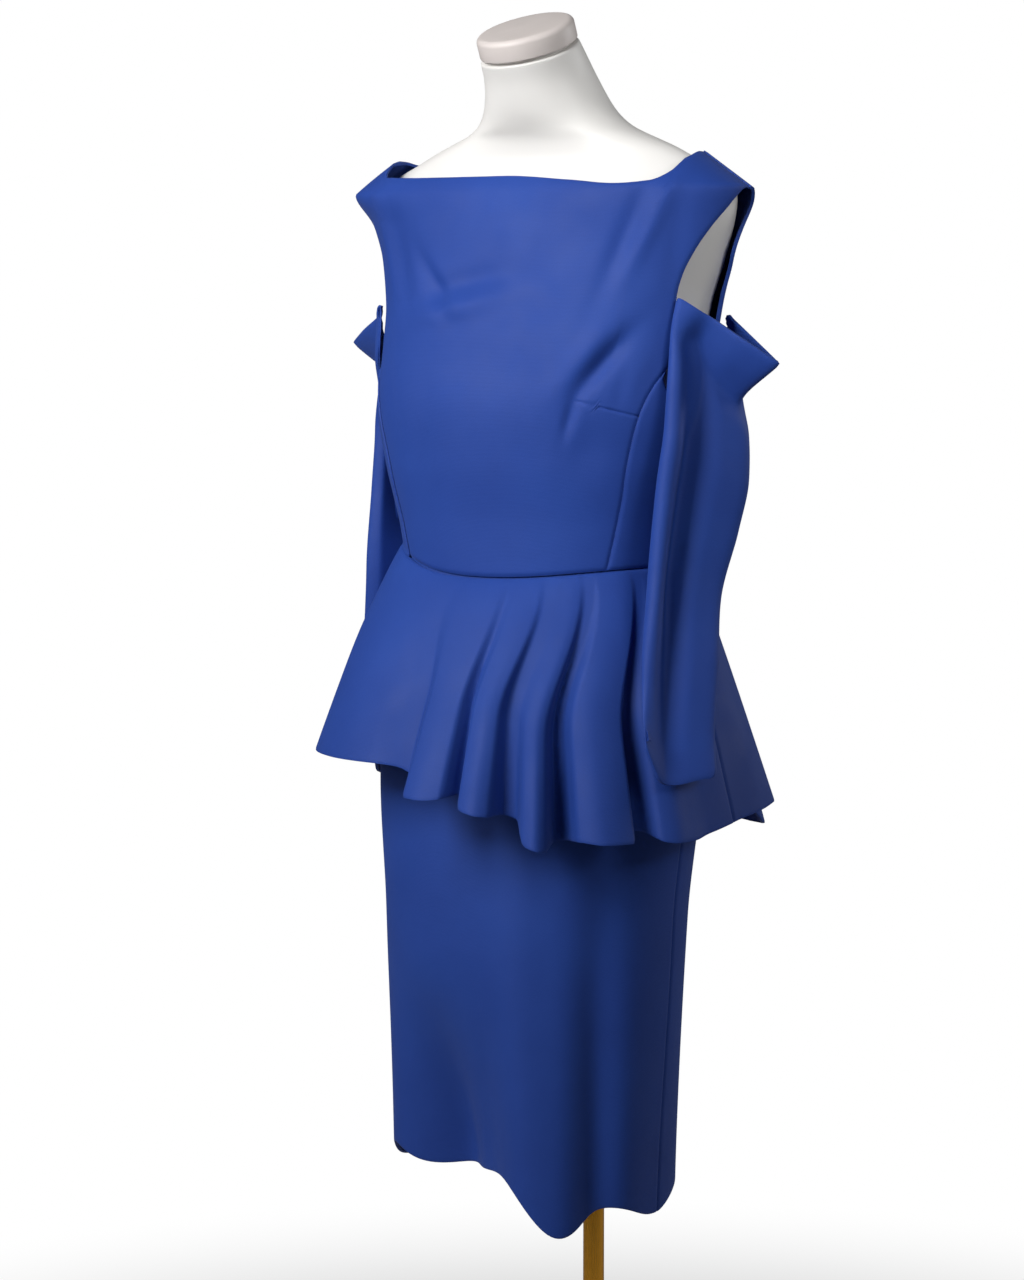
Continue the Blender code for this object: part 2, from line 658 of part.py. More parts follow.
def right_corner(name, x, y, drop):
    """The left sleeve's corner mirrored, swung back and lifted, the open outer corner first."""
    leads = 1.0 if name == "outer" else smooth_step(0.15, 0.28, drop)
    swing = leads * RIGHT_SWING
    swing += (RIGHT_CUFF_SWING - RIGHT_SWING) * smooth_step(0.36, 0.52, drop)
    away = Matrix.Rotation(-swing, 2) @ Vector((-x, y - BODY_MIDDLE))
    lift = RIGHT_LIFT * (1 - smooth_step(0.16, 0.24, drop)) if name == "outer" else 0.0
    tuck = BODY.tuck(drop) * (1 - smooth_step(0.16, 0.24, drop))
    squeeze = smooth_step(0.17, 0.22, drop) * (1 - smooth_step(0.30, 0.40, drop)) if name == "outer" else 0.0
    return away.x * (1 - RIGHT_SQUEEZE * squeeze) + tuck, away.y + BODY_MIDDLE, drop - lift


def sleeve_corner(ring, name, side):
    x, y, drop = getattr(ring, name)
    if side < 0:
        x, y, drop = right_corner(name, x, y, drop)
    return Vector((x, y, SHOULDER_HEIGHT - drop))


def sleeve_ring(ring, side):
    """Points round the sleeve: out along the front with its ridge and valley, back, and in along the body."""
    corners = [sleeve_corner(ring, name, side) for name in ("front", "outer", "back", "under")]
    middle = sum(corners, Vector()) / len(corners)
    points = []
    for k, count in enumerate(SLEEVE_SPANS):
        start, end = corners[k], corners[(k + 1) % len(corners)]
        outward = (end - start).cross(Vector((0, 0, 1))).normalized()
        if outward.dot((start + end) / 2 - middle) < 0:
            outward = -outward
        for i in range(count):
            share = i / count
            rise = dip = 0.0
            if k == 0:
                ridge = math.exp(-(((share - RIDGE_SHARE) / FOLD_SHARE) ** 2))
                valley = math.exp(-(((share - VALLEY_SHARE) / FOLD_SHARE) ** 2))
                rise, dip = ring.ridge * (ridge - 0.8 * valley), ring.dip * (ridge + 0.5 * valley)
            points.append(start.lerp(end, share) + outward * rise - Vector((0, 0, dip)))
    for smoothing in range(SLEEVE_SMOOTHING):
        after = points[1:] + points[:1]
        points = [(points[i - 1] + 2 * points[i] + after[i]) / 4 for i in range(len(points))]
    outer_half = SLEEVE_SPANS[0] + SLEEVE_SPANS[1]
    hollows = [SLEEVE_HOLLOW * min(2 * math.sin(math.pi * i / outer_half), 1.0) for i in range(outer_half)]
    hollows += [0.0] * (len(points) - outer_half)
    return [clear_of_dress(point, hollow) for point, hollow in zip(points, hollows)]


def tube_skins(outer):
    """The outer points of a tube, and its inner points a cloth's thickness inside."""
    rows, columns = len(outer), len(outer[0])
    inner = []
    for j in range(rows):
        up, down = outer[max(j - 1, 0)], outer[min(j + 1, rows - 1)]
        middle = sum(outer[j], Vector()) / columns
        normals = []
        for i in range(columns):
            along = outer[j][(i + 1) % columns] - outer[j][i - 1]
            normals.append(along.cross(down[i] - up[i]).normalized())
        # All of a ring's normals point the same way, out or in, whatever its hollows
        facing = sum(normal.dot(point - middle) for normal, point in zip(normals, outer[j]))
        wall = math.copysign(CLOTH, facing)
        inner.append([point - normal * wall for normal, point in zip(normals, outer[j])])
    return outer, inner


def add_sleeve(name, side, parts):
    outer, inner = tube_skins([sleeve_ring(ring, side) for ring in SLEEVE_RINGS])
    add_wall(name, outer, inner, parts, around=True)


def form_ring(ring):
    middle = (ring.front + ring.back) / 2
    depth = (ring.back - ring.front) / 2
    points = []
    for i in range(FORM_COLUMNS):
        x, y = on_ring(2 * math.pi * i / FORM_COLUMNS, ring.half_width, depth, depth, ring.squareness)
        x += FORM_SHIFT * smooth_step(1.2, 1.35, ring.z)
        points.append(Vector((x, middle + y, ring.z - shoulder_tilt(x, SHOULDER_HEIGHT - ring.z))))
    return points


def neck_ring(ring):
    tilt = Matrix.Rotation(math.radians(ring.tilt), 3, "X")
    points = []
    for i in range(FORM_COLUMNS):
        x, y = on_ring(2 * math.pi * i / FORM_COLUMNS, ring.half_width, ring.depth, ring.depth, 2)
        points.append(tilt @ Vector((x, y, 0)) + Vector((0, ring.y, ring.z)))
    return points


def ring_under_cap(below, radius):
    """A round ring, parallel to the neck cap and this far below it."""
    place = Matrix.Translation(FORM_CAP_MIDDLE) @ Matrix.Rotation(FORM_CAP_TILT, 4, "X")
    points = []
    for i in range(FORM_COLUMNS):
        x, y = on_ring(2 * math.pi * i / FORM_COLUMNS, radius, radius, radius, 2)
        points.append(place @ Vector((x, y, -FORM_CAP_THICKNESS / 2 - below)))
    return points


def add_form(parts, made_of):
    """The torso and neck, one closed loft through all its rings, and the stem that carries the cap."""
    bm = bmesh.new()
    rings = [form_ring(ring) for ring in FORM_RINGS] + [neck_ring(ring) for ring in NECK_RINGS]
    rings.append(ring_under_cap(FORM_GROOVE, FORM_CAP_RADIUS))
    rings.append(ring_under_cap(FORM_GROOVE, FORM_STEM_RADIUS))
    rings.append(ring_under_cap(SEAM_GAP, FORM_STEM_RADIUS))
    loops = [[bm.verts.new(point) for point in ring] for ring in rings]
    for low, high in zip(loops, loops[1:]):
        for i in range(FORM_COLUMNS):
            k = (i + 1) % FORM_COLUMNS
            bm.faces.new((low[i], low[k], high[k], high[i]))
    bm.faces.new(loops[0])
    bm.faces.new(loops[-1])
    add_object("form_torso", bm, made_of, parts)


def add_cap(parts, made_of):
    """The slanted disc on the neck, with rounded edges."""
    bm = bmesh.new()
    bmesh.ops.create_cone(
        bm,
        cap_ends=True,
        segments=40,
        radius1=FORM_CAP_RADIUS,
        radius2=FORM_CAP_RADIUS,
        depth=FORM_CAP_THICKNESS,
    )
    rims = [edge for edge in bm.edges if abs(edge.verts[0].co.z - edge.verts[1].co.z) < 1e-6]
    bmesh.ops.bevel(bm, geom=rims, offset=0.004, segments=2, profile=0.5, affect="EDGES")
    bm.transform(Matrix.Translation(FORM_CAP_MIDDLE) @ Matrix.Rotation(FORM_CAP_TILT, 4, "X"))
    add_object("form_neck_cap", bm, made_of, parts)


def add_turned(name, profile, parts, made_of):
    """A turned piece: its profile of radius and height, top to bottom, with a Screw modifier."""
    mesh = bpy.data.meshes.new(name)
    points = [(radius, 0, z) for radius, z in profile]
    mesh.from_pydata(points, [(i, i + 1) for i in range(len(points) - 1)], [])
    made = bpy.data.objects.new(name, mesh)
    parts.objects.link(made)
    screw = made.modifiers.new("turned", "SCREW")
    screw.steps = screw.render_steps = 40
    screw.use_merge_vertices = True
    screw.merge_threshold = 1e-5
    mesh.materials.append(made_of)
    return made


def add_stand(parts):
    """The pole, the socket that holds it, and the round base that the whole part stands on."""
    brass = material("brass", BRASS, roughness=0.25, metallic=1.0)
    pole_foot = BASE_THICKNESS + SEAM_GAP
    pole_top = FORM_RINGS[0].z - SEAM_GAP
    socket_bore = POLE_RADIUS + SEAM_GAP
    add_turned(
        "form_pole",
        ((0, pole_top), (POLE_RADIUS, pole_top), (POLE_RADIUS, pole_foot), (0, pole_foot)),
        parts,
        brass,
    )
    socket_foot = BASE_THICKNESS + SEAM_GAP
    socket_top = socket_foot + SOCKET_HEIGHT
    socket = (
        (socket_bore, socket_top),
        (SOCKET_RADIUS - 0.004, socket_top),
        (SOCKET_RADIUS, socket_top - 0.004),
        (SOCKET_RADIUS, socket_foot),
        (socket_bore, socket_foot),
        (socket_bore, socket_top),
    )
    add_turned("form_socket", socket, parts, brass)
    base = (
        (0, BASE_THICKNESS),
        (BASE_RADIUS - 0.004, BASE_THICKNESS),
        (BASE_RADIUS, BASE_THICKNESS - 0.004),
        (BASE_RADIUS, 0),
        (0, 0),
    )
    add_turned("form_base", base, parts, brass)


def main():
    for existing in list(bpy.data.objects):
        bpy.data.objects.remove(existing, do_unlink=True)
    parts = bpy.data.collections.new("off_shoulder_dress_on_form")
    bpy.context.scene.collection.children.link(parts)
    add_front(parts)
    for name, side in (("left", 1), ("right", -1)):
        add_side(f"side_panel_{name}", side, parts)
        add_back(f"bodice_back_{name}", side, parts)
        add_sleeve(f"sleeve_{name}", side, parts)
    add_peplum("peplum_front", -90, 90, 61, parts)
    add_peplum("peplum_back_left", 90, 180, 25, parts)
    add_peplum("peplum_back_right", -180, -90, 25, parts)
    add_skirt("skirt_front", -90, 90, 25, parts)
    add_skirt("skirt_back_left", 90, 180, 12, parts)
    add_skirt("skirt_back_right", -180, -90, 12, parts)
    add_form(parts, material("form_skin", WHITE, roughness=0.55))
    add_cap(parts, material("form_cap", WARM_GREY, roughness=0.5))
    add_stand(parts)


main()
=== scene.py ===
"""The off-shoulder dress with its peplum and loose sleeves, worn on its form, in finer cloth.

Metres, +Z up. A height on the dress is a drop below the shoulder tips, and a turn is the angle
round the body from the centre front towards the wearer's left (+X).
"""

import math
from collections import namedtuple

import bpy
import numpy as np
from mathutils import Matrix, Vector


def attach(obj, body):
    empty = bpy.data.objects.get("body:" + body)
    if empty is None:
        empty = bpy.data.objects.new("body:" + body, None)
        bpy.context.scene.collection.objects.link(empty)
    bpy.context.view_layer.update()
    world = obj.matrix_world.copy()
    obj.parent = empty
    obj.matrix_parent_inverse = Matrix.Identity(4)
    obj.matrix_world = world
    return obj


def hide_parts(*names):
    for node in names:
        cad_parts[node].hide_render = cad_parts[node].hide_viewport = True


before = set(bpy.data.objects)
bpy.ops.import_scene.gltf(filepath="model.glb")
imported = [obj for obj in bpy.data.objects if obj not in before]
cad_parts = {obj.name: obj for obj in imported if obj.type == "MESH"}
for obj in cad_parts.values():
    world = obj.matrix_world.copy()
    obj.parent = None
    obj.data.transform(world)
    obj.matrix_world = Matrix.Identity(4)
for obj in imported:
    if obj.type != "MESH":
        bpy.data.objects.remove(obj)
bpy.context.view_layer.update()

SHOULDER_HEIGHT = 1.420

# The cloth, a turned-in edge of two layers, and the gaps that the layers keep from each other
CLOTH = 0.0018
FOLDED_EDGE = 0.0032
LAYER_GAP = 0.0005
SLEEVE_GAP = 0.0009
PEPLUM_CLEARANCE = 0.004
# A seam is a fine groove, and a free edge is rounded over and has a small bevel
SEAM_DEPTH = 0.0013
SEAM_WIDTH = 0.0019
EDGE_ROLL = 0.0006
EDGE_ROLL_WIDTH = 0.0012
RIM_BEVEL = 0.0005
# Depth of each turned-in allowance
NECK_ALLOWANCE = 0.011
PEPLUM_ALLOWANCE = 0.016
SKIRT_ALLOWANCE = 0.022
CUFF_ALLOWANCE = 0.014
SLEEVE_TOP_ALLOWANCE = 0.012
# The cloth's grid has lines this far from its edges, and even ones between
EDGE_LINES = (0.0007, 0.0016, 0.003, 0.005)
# Columns over a panel's half width and rows over its height, in metres as the grid spaces them
Grid = namedtuple("Grid", "columns width rows height")
FRONT_GRID = Grid(64, 0.20, 110, 0.36)
BACK_GRID = Grid(48, 0.20, 100, 0.36)
SIDE_GRID = Grid(24, 0.12, 44, 0.16)
DART_ROWS = 34

# The bodice: its middle, its shoulder tips and how fast they widen, its neckline's ends
BODY_MIDDLE = -0.085
SHOULDER_TIP = 0.217
SHOULDER_SPREAD = 1.36
NECK_END_DROP = -0.036
NECK_END = 1 + NECK_END_DROP * SHOULDER_SPREAD / SHOULDER_TIP
# The waist seam, lower by the tilt at the wearer's left, and the underarm and armhole's end
WAIST_SIDE = 0.336
WAIST_TILT = 0.011
WAIST_FRONT = 0.3575
WAIST_BACK = 0.350
UNDERARM_DROP = 0.205
ARMHOLE_END_DROP = 0.160
UNDERARM_POWER = 0.8
# The shoulders tilt down to the wearer's left, and their tips stand up
SHOULDER_TILT = 0.0055
TILT_FADES_AT = 0.25
SHOULDER_RISE = 0.0055
RISE_FADES_AT = 0.08
# How far the back's armhole edges come forward, from which share of the half width, and
# the drops at which they start to, have, start back and are back
ARMHOLE_FORWARD = 0.016
FORWARD_FROM = 0.80
FORWARD_DROPS = (0.004, 0.060, 0.130, 0.158)

# The peplum and the skirt: their middles, and where the skirt is free of the bodice and ends
PEPLUM_MIDDLE = -0.100
SKIRT_MIDDLE = -0.105
SKIRT_FREE_DROP = 0.430
HEM_DROP = 0.938

# The dress form, its cap and its stand, whose pieces keep a gap. The chest is shifted a
# little to the wearer's left, from the first height to the second, and the neck isn't.
FORM_CAP_RADIUS = 0.047
FORM_CAP_THICKNESS = 0.020
FORM_CAP_MIDDLE = Vector((0.0, -0.1255, 1.5665))
FORM_CAP_TILT = math.radians(25)
FORM_GROOVE = 0.0028
FORM_STEM_RADIUS = 0.041
FORM_SHIFT = 0.004
FORM_SHIFT_HEIGHTS = (1.2, 1.35)
NECK_FOOT_HEIGHTS = (1.473, 1.484)
FORM_START = 0.006
NECK_TOP_ABOVE = 1.53
CAP_DOME_STEPS = (0.010, 0.012, 0.010)
CAP_DOME_RISE = 0.00025
RIGID_GAP = 0.0003
POLE_RADIUS = 0.0105
BASE_RADIUS = 0.200
BASE_THICKNESS = 0.010
SOCKET_RADIUS = 0.022
SOCKET_HEIGHT = 0.035
# How far the rims of the cap, the turned brass and the base's foot are rounded
CAP_RIM = 0.0055
BRASS_RIM = 0.004
CRISP_RIM = 0.0012
FOOT_RIM = 0.0008

# Wales and courses of the knit, in the wave texture's own bands per metre
JERSEY_WALES = 330
JERSEY_COURSES = 260


# Rings round the body, each a rounded box: tuck is how much narrower the wearer's right is,
# and twist the degrees that the right flank is pulled back by its strap
Ring = namedtuple("Ring", "drop half_width front back squareness tuck twist")
BODY_RINGS = (
    Ring(-0.036, 0.168, 0.064, 0.050, 2.20, 0.000, 0),
    Ring(-0.015, 0.1965, 0.080, 0.060, 2.20, 0.000, 0),
    Ring(0.000, 0.217, 0.088, 0.066, 2.15, 0.000, 0),
    Ring(0.030, 0.2105, 0.094, 0.073, 2.10, 0.0085, 6),
    Ring(0.060, 0.2025, 0.098, 0.079, 2.15, 0.0135, 7),
    Ring(0.100, 0.190, 0.106, 0.084, 2.20, 0.013, 5),
    Ring(0.140, 0.183, 0.115, 0.086, 2.20, 0.008, 3),
    Ring(0.200, 0.180, 0.121, 0.086, 2.25, 0.004, 0),
    Ring(0.250, 0.171, 0.117, 0.086, 2.20, 0.002, 0),
    Ring(0.310, 0.154, 0.108, 0.088, 2.20, 0.000, 0),
    Ring(0.370, 0.143, 0.104, 0.093, 2.20, 0.000, 0),
)
SkirtRing = namedtuple("SkirtRing", "drop half_width front back squareness back_squareness")
SKIRT_RINGS = (
    SkirtRing(0.340, 0.142, 0.084, 0.112, 2.2, 2.20),
    SkirtRing(0.380, 0.148, 0.090, 0.122, 2.2, 2.15),
    SkirtRing(0.430, 0.156, 0.102, 0.134, 2.2, 2.10),
    SkirtRing(0.550, 0.163, 0.112, 0.148, 2.2, 1.90),
    SkirtRing(0.680, 0.151, 0.118, 0.148, 2.3, 1.75),
    SkirtRing(0.800, 0.146, 0.115, 0.149, 2.4, 1.68),
    SkirtRing(0.960, 0.142, 0.111, 0.150, 2.5, 1.65),
)

# Where the front and back panels end, as a half width at each drop: a seam below the
# armhole and a free edge beside it
Edge = namedtuple("Edge", "drop front back")
PANEL_EDGES = (
    Edge(0.000, 0.217, 0.217),
    Edge(0.007, 0.2140, 0.2150),
    Edge(0.017, 0.2085, 0.2110),
    Edge(0.034, 0.1971, 0.2080),
    Edge(0.056, 0.1845, 0.2022),
    Edge(0.078, 0.1752, 0.1945),
    Edge(0.099, 0.1703, 0.1885),
    Edge(0.130, 0.1680, 0.1815),
    Edge(0.160, 0.1650, 0.1700),
    Edge(0.180, 0.156, 0.157),
    Edge(0.207, 0.146, 0.143),
    Edge(0.250, 0.134, 0.127),
    Edge(0.281, 0.127, 0.118),
    Edge(0.300, 0.122, 0.112),
    Edge(0.370, 0.105, 0.098),
)
# Drop of each neckline at a share of the tip's half width, from the wearer's right to left
Neck = namedtuple("Neck", "share drop")
FRONT_NECKLINE = (
    Neck(-NECK_END, NECK_END_DROP),
    Neck(-0.70, -0.0165),
    Neck(-0.45, -0.0150),
    Neck(0.00, -0.0150),
    Neck(0.32, -0.0095),
    Neck(0.55, -0.0045),
    Neck(0.68, -0.0065),
    Neck(0.745, -0.0150),
    Neck(NECK_END, NECK_END_DROP),
)
BACK_NECKLINE = (
    Neck(-NECK_END, NECK_END_DROP),
    Neck(-0.60, -0.0160),
    Neck(0.00, -0.0060),
    Neck(0.60, -0.0160),
    Neck(NECK_END, NECK_END_DROP),
)

# Folds on the front: the middle of each, its half length and half width, its lean from
# upright towards the wearer's left, and how far it stands out
Fold = namedtuple("Fold", "x drop length width lean rise")
FRONT_FOLDS = (
    Fold(0.118, 0.160, 0.036, 0.0080, 36, -0.0092),
    Fold(0.103, 0.149, 0.040, 0.0110, 36, 0.0046),
    Fold(0.141, 0.172, 0.034, 0.0100, 22, 0.0030),
    Fold(0.133, 0.186, 0.022, 0.0070, 12, -0.0026),
    Fold(0.090, 0.210, 0.018, 0.0055, 18, -0.0046),
    Fold(0.104, 0.240, 0.030, 0.0180, 20, -0.0030),
    Fold(-0.036, 0.108, 0.050, 0.0120, 80, 0.0055),
    Fold(-0.028, 0.084, 0.050, 0.0120, 80, -0.0042),
    Fold(-0.070, 0.085, 0.036, 0.0090, -40, -0.0050),
    Fold(-0.146, 0.045, 0.045, 0.0120, -20, 0.0040),
    Fold(-0.120, 0.060, 0.050, 0.0120, -20, -0.0025),
    Fold(0.150, 0.035, 0.045, 0.0090, 24, 0.0055),
    Fold(0.130, 0.045, 0.055, 0.0100, 20, -0.0048),
    Fold(0.172, 0.050, 0.045, 0.0080, 8, -0.0026),
    Fold(-0.075, 0.240, 0.060, 0.0160, 12, -0.0022),
)

# The bust dart's tip, its fall per metre outward, its width and the length of its fade, and
# the shares of the panel's height between which its grid is finer
Place = namedtuple("Place", "x drop")
DART_TIP = Place(0.092, 0.1935)
DART_SLOPE = 0.29
DART_WIDTH = 0.0012
DART_FADE = 0.006
DART_LEVELS = (0.37, 0.46)

# The peplum's hem once round, from the wearer's right back: how far it stands out from
# its mean flare at each turn, and its drop
Flute = namedtuple("Flute", "turn rise drop")
FLUTES = tuple(Flute(*row) for row in (
    (-179, 0.012, 0.606), (-170, -0.012, 0.594), (-160, 0.014, 0.602), (-152, 0.006, 0.598),
    (-147, -0.016, 0.589), (-140, 0.010, 0.591), (-133, 0.017, 0.592), (-126, 0.010, 0.588),
    (-120, -0.014, 0.572), (-112, 0.010, 0.572), (-105, 0.018, 0.571), (-98, 0.012, 0.565),
    (-90, -0.006, 0.541), (-80, 0.010, 0.532), (-72, 0.013, 0.530), (-63, 0.006, 0.521),
    (-54, 0.0145, 0.526), (-38, 0.0100, 0.5265), (-24, 0.000, 0.527), (-15, -0.012, 0.529),
    (-10, -0.015, 0.534), (-5, 0.011, 0.553), (1, 0.0165, 0.5535), (6, 0.0125, 0.552),
    (8.5, -0.014, 0.5495), (11, 0.010, 0.560), (15.5, 0.0185, 0.564), (19, 0.0125, 0.566),
    (21.5, -0.017, 0.567), (25.5, -0.012, 0.570), (28, 0.014, 0.590), (31, 0.0215, 0.594),
    (33.5, 0.0150, 0.596), (36.5, -0.028, 0.593), (39.5, -0.022, 0.590), (42, 0.008, 0.588),
    (48, 0.0185, 0.590), (55.5, 0.0125, 0.590), (58.5, -0.020, 0.583), (61, -0.014, 0.583),
    (63.5, 0.010, 0.590), (67.5, 0.0145, 0.592), (73, 0.0100, 0.592), (80, 0.0050, 0.588),
    (90, 0.0060, 0.582), (103, 0.0170, 0.574), (110, 0.0200, 0.571), (119, -0.006, 0.577),
    (126, 0.008, 0.598), (132, 0.013, 0.603), (139, 0.008, 0.604), (145, -0.016, 0.600),
    (152, 0.010, 0.614), (158, 0.015, 0.617), (164, 0.009, 0.614), (170, -0.014, 0.602),
    (176, 0.008, 0.606),
))
# The mean flare at the sides, front and back, how early it comes, later at the wearer's
# left, and how the flutes grow down it
FLARE_SIDE = 0.206
FLARE_FRONT = 0.194
FLARE_BACK = 0.212
FLARE_POWER = 0.72
LEFT_FLARE_POWER = 0.20
FLUTE_POWER = 1.2

# Dents of the skirt's hem: the turn of each, its width, its depth, how far it lifts the
# hem, and the drop at which it starts
Dent = namedtuple("Dent", "turn width depth lift start")
SKIRT_DENTS = (
    Dent(-18, 22, 0.056, 0.015, 0.700),
    Dent(-57, 17, 0.000, 0.026, 0.700),
    Dent(10, 14, 0.000, 0.021, 0.700),
    Dent(30.5, 17, -0.010, -0.030, 0.640),
    Dent(90, 22, 0.008, -0.020, 0.700),
    Dent(150, 22, 0.010, -0.006, 0.700),
    Dent(-125, 24, 0.008, -0.006, 0.700),
    Dent(15, 10, -0.009, 0.000, 0.430),
    Dent(50, 11, 0.014, 0.000, 0.440),
)

# The sleeve's rings from its open top edge to its cuff. Each corner is x, y and drop:
# front and back where it leaves the body, outer at its hanging fold, under at the body.
Sleeve = namedtuple("Sleeve", "front outer back under ridge dip")
SLEEVE_RINGS = (
    Sleeve((0.166, -0.145, 0.094), (0.267, -0.106, 0.168), (0.166, -0.047, 0.105),
           (0.187, -0.085, 0.205), 0.003, 0.000),
    Sleeve((0.164, -0.152, 0.128), (0.213, -0.090, 0.204), (0.180, -0.038, 0.150),
           (0.187, -0.085, 0.222), 0.008, 0.000),
    Sleeve((0.164, -0.157, 0.160), (0.221, -0.088, 0.232), (0.182, -0.044, 0.185),
           (0.187, -0.085, 0.245), 0.011, 0.000),
    Sleeve((0.165, -0.165, 0.210), (0.224, -0.091, 0.272), (0.180, -0.053, 0.235),
           (0.182, -0.088, 0.275), 0.012, 0.000),
    Sleeve((0.160, -0.170, 0.270), (0.217, -0.098, 0.318), (0.174, -0.063, 0.290),
           (0.170, -0.095, 0.305), 0.012, 0.000),
    Sleeve((0.157, -0.176, 0.350), (0.207, -0.113, 0.376), (0.170, -0.078, 0.362),
           (0.158, -0.112, 0.360), 0.012, 0.000),
    Sleeve((0.160, -0.190, 0.410), (0.214, -0.130, 0.436), (0.176, -0.096, 0.430),
           (0.160, -0.124, 0.425), 0.009, 0.004),
    Sleeve((0.170, -0.207, 0.462), (0.219, -0.147, 0.490), (0.188, -0.114, 0.486),
           (0.172, -0.146, 0.476), 0.005, 0.016),
    Sleeve((0.183, -0.222, 0.496), (0.228, -0.160, 0.531), (0.200, -0.130, 0.532),
           (0.181, -0.162, 0.512), 0.001, 0.030),
)
# Columns across each of the sleeve's four spans, all of them made finer alike, and its rows
SLEEVE_SPANS = (11, 8, 6, 7)
SLEEVE_FINER = 5
SLEEVE_LINES = 100
# Passes that round the corners, the fold, and then the whole
CORNER_SOFTENING = 45
FOLD_SOFTENING = 4
LAST_SOFTENING = 6
# The fold along the sleeve's front: how far it stands out at each share of its width
FRONT_PROFILE = (
    (0, 0), (0.06, 0.7), (0.17, 1), (0.25, 0.7), (0.34, -1.3), (0.46, -0.8), (0.66, 0), (1, 0),
)
# The cuff hangs lowest here, and rises steeply in front of it and slowly behind
TIP_SHARE = 0.28
TIP_WIDTH = 0.17
TIP_TAIL = 0.50
# The outer half of a sleeve stands this much clear of its half along the body
SLEEVE_HOLLOW = 0.008
# A sleeve rests on the crests of the flutes, which stand out this far
SLEEVE_ON_FLUTES = 0.0145
# The right sleeve hangs further back, its open corner first and its cuff most of all, and
# a little closer to the body at the elbow. Each pair is the drops between which that comes.
RIGHT_SWING = math.radians(11)
RIGHT_SWING_DROPS = (0.15, 0.28)
RIGHT_FRONT_SWING = math.radians(18)
RIGHT_FRONT_DROPS = (0.12, 0.20)
RIGHT_CUFF_SWING = math.radians(36)
RIGHT_CUFF_DROPS = (0.36, 0.52)
RIGHT_LIFT = 0.033
RIGHT_CORNER_IN = 0.008
RIGHT_TOP_DROPS = (0.16, 0.24)
RIGHT_SQUEEZE = 0.095
RIGHT_ELBOW_DROPS = ((0.17, 0.22), (0.30, 0.40))

# The form's rings: height, half width, and where its front and back lie
FormRing = namedtuple("FormRing", "z half_width front back")
FORM_RINGS = (
    FormRing(0.720, 0.118, -0.172, 0.016),
    FormRing(0.740, 0.128, -0.182, 0.020),
    FormRing(0.810, 0.142, -0.196, 0.022),
    FormRing(0.880, 0.150, -0.200, 0.022),
    FormRing(0.960, 0.142, -0.188, 0.012),
    FormRing(1.020, 0.128, -0.172, 0.000),
    FormRing(1.070, 0.124, -0.168, -0.010),
    FormRing(1.130, 0.138, -0.178, -0.012),
    FormRing(1.190, 0.156, -0.190, -0.014),
    FormRing(1.230, 0.164, -0.191, -0.014),
    FormRing(1.280, 0.168, -0.180, -0.014),
    FormRing(1.320, 0.171, -0.166, -0.018),
    FormRing(1.350, 0.182, -0.156, -0.022),
    FormRing(1.380, 0.193, -0.148, -0.028),
    FormRing(1.405, 0.199, -0.140, -0.034),
    FormRing(1.422, 0.198, -0.132, -0.039),
    FormRing(1.433, 0.187, -0.127, -0.043),
    FormRing(1.443, 0.1715, -0.123, -0.047),
    FormRing(1.4525, 0.151, -0.121, -0.048),
    FormRing(1.463, 0.133, -0.123, -0.043),
    FormRing(1.473, 0.108, -0.126, -0.034),
)
FORM_SQUARENESS = 2.1
# The neck's rings: the middle's place, the radius across and front to back, and the tilt in
# degrees, with the last one just under the cap
NeckRing = namedtuple("NeckRing", "y z half_width depth tilt")
NECK_RINGS = (
    NeckRing(-0.081, 1.484, 0.083, 0.052, 3),
    NeckRing(-0.086, 1.496, 0.068, 0.053, 8),
    NeckRing(-0.092, 1.509, 0.060, 0.053, 13),
    NeckRing(-0.101, 1.526, 0.053, 0.051, 19),
    NeckRing(-0.110, 1.541, 0.049, 0.0485, 24),
    NeckRing(-0.1202, 1.5542, 0.047, 0.047, 25),
)
NECK_END_RISE = 0.0006

# The fields of a panel's flat cut before it was sewn: its width, length and flat area, how it
# is held, and what holds it up. No panel's cut is listed, and nothing here uses these fields.
Cut = namedtuple("Cut", "node width length area held rests_on")

# The camera, at the photograph's own angle, and the studio's lamps with their aim and spread
CAMERA_PLACE = (1.440, -2.368, 1.19)
CAMERA_TURN = (math.radians(85.92), 0, math.radians(33))
CAMERA_LENS = 78.95
CAMERA_SENSOR = 36
Lamp = namedtuple("Lamp", "name place size power aim spread")
LAMPS = (
    Lamp("key_lamp", (-0.32, -1.75, 2.05), (0.9, 0.9), 17.5, (0, -0.1, 1.34), 120),
    Lamp("left_lamp", (-1.4, -1.7, 1.7), (0.8, 1.0), 9, (0, -0.1, 1.2), 180),
    Lamp("right_lamp", (1.9, -0.9, 2.0), (0.8, 0.8), 0.95, (0, -0.1, 1.36), 36),
    Lamp("back_lamp", (1.6, 1.9, 2.0), (1.0, 1.0), 18, (0, 0.0, 1.15), 180),
)
ROOM_COLOUR = (0.92, 0.95, 1.0, 1)
ROOM_STRENGTH = 0.06
FLOOR_SIZE = 60
FLOOR_COLOUR = (0.62, 0.62, 0.62, 1)
FLOOR_FADES = (0.3, 1.6)


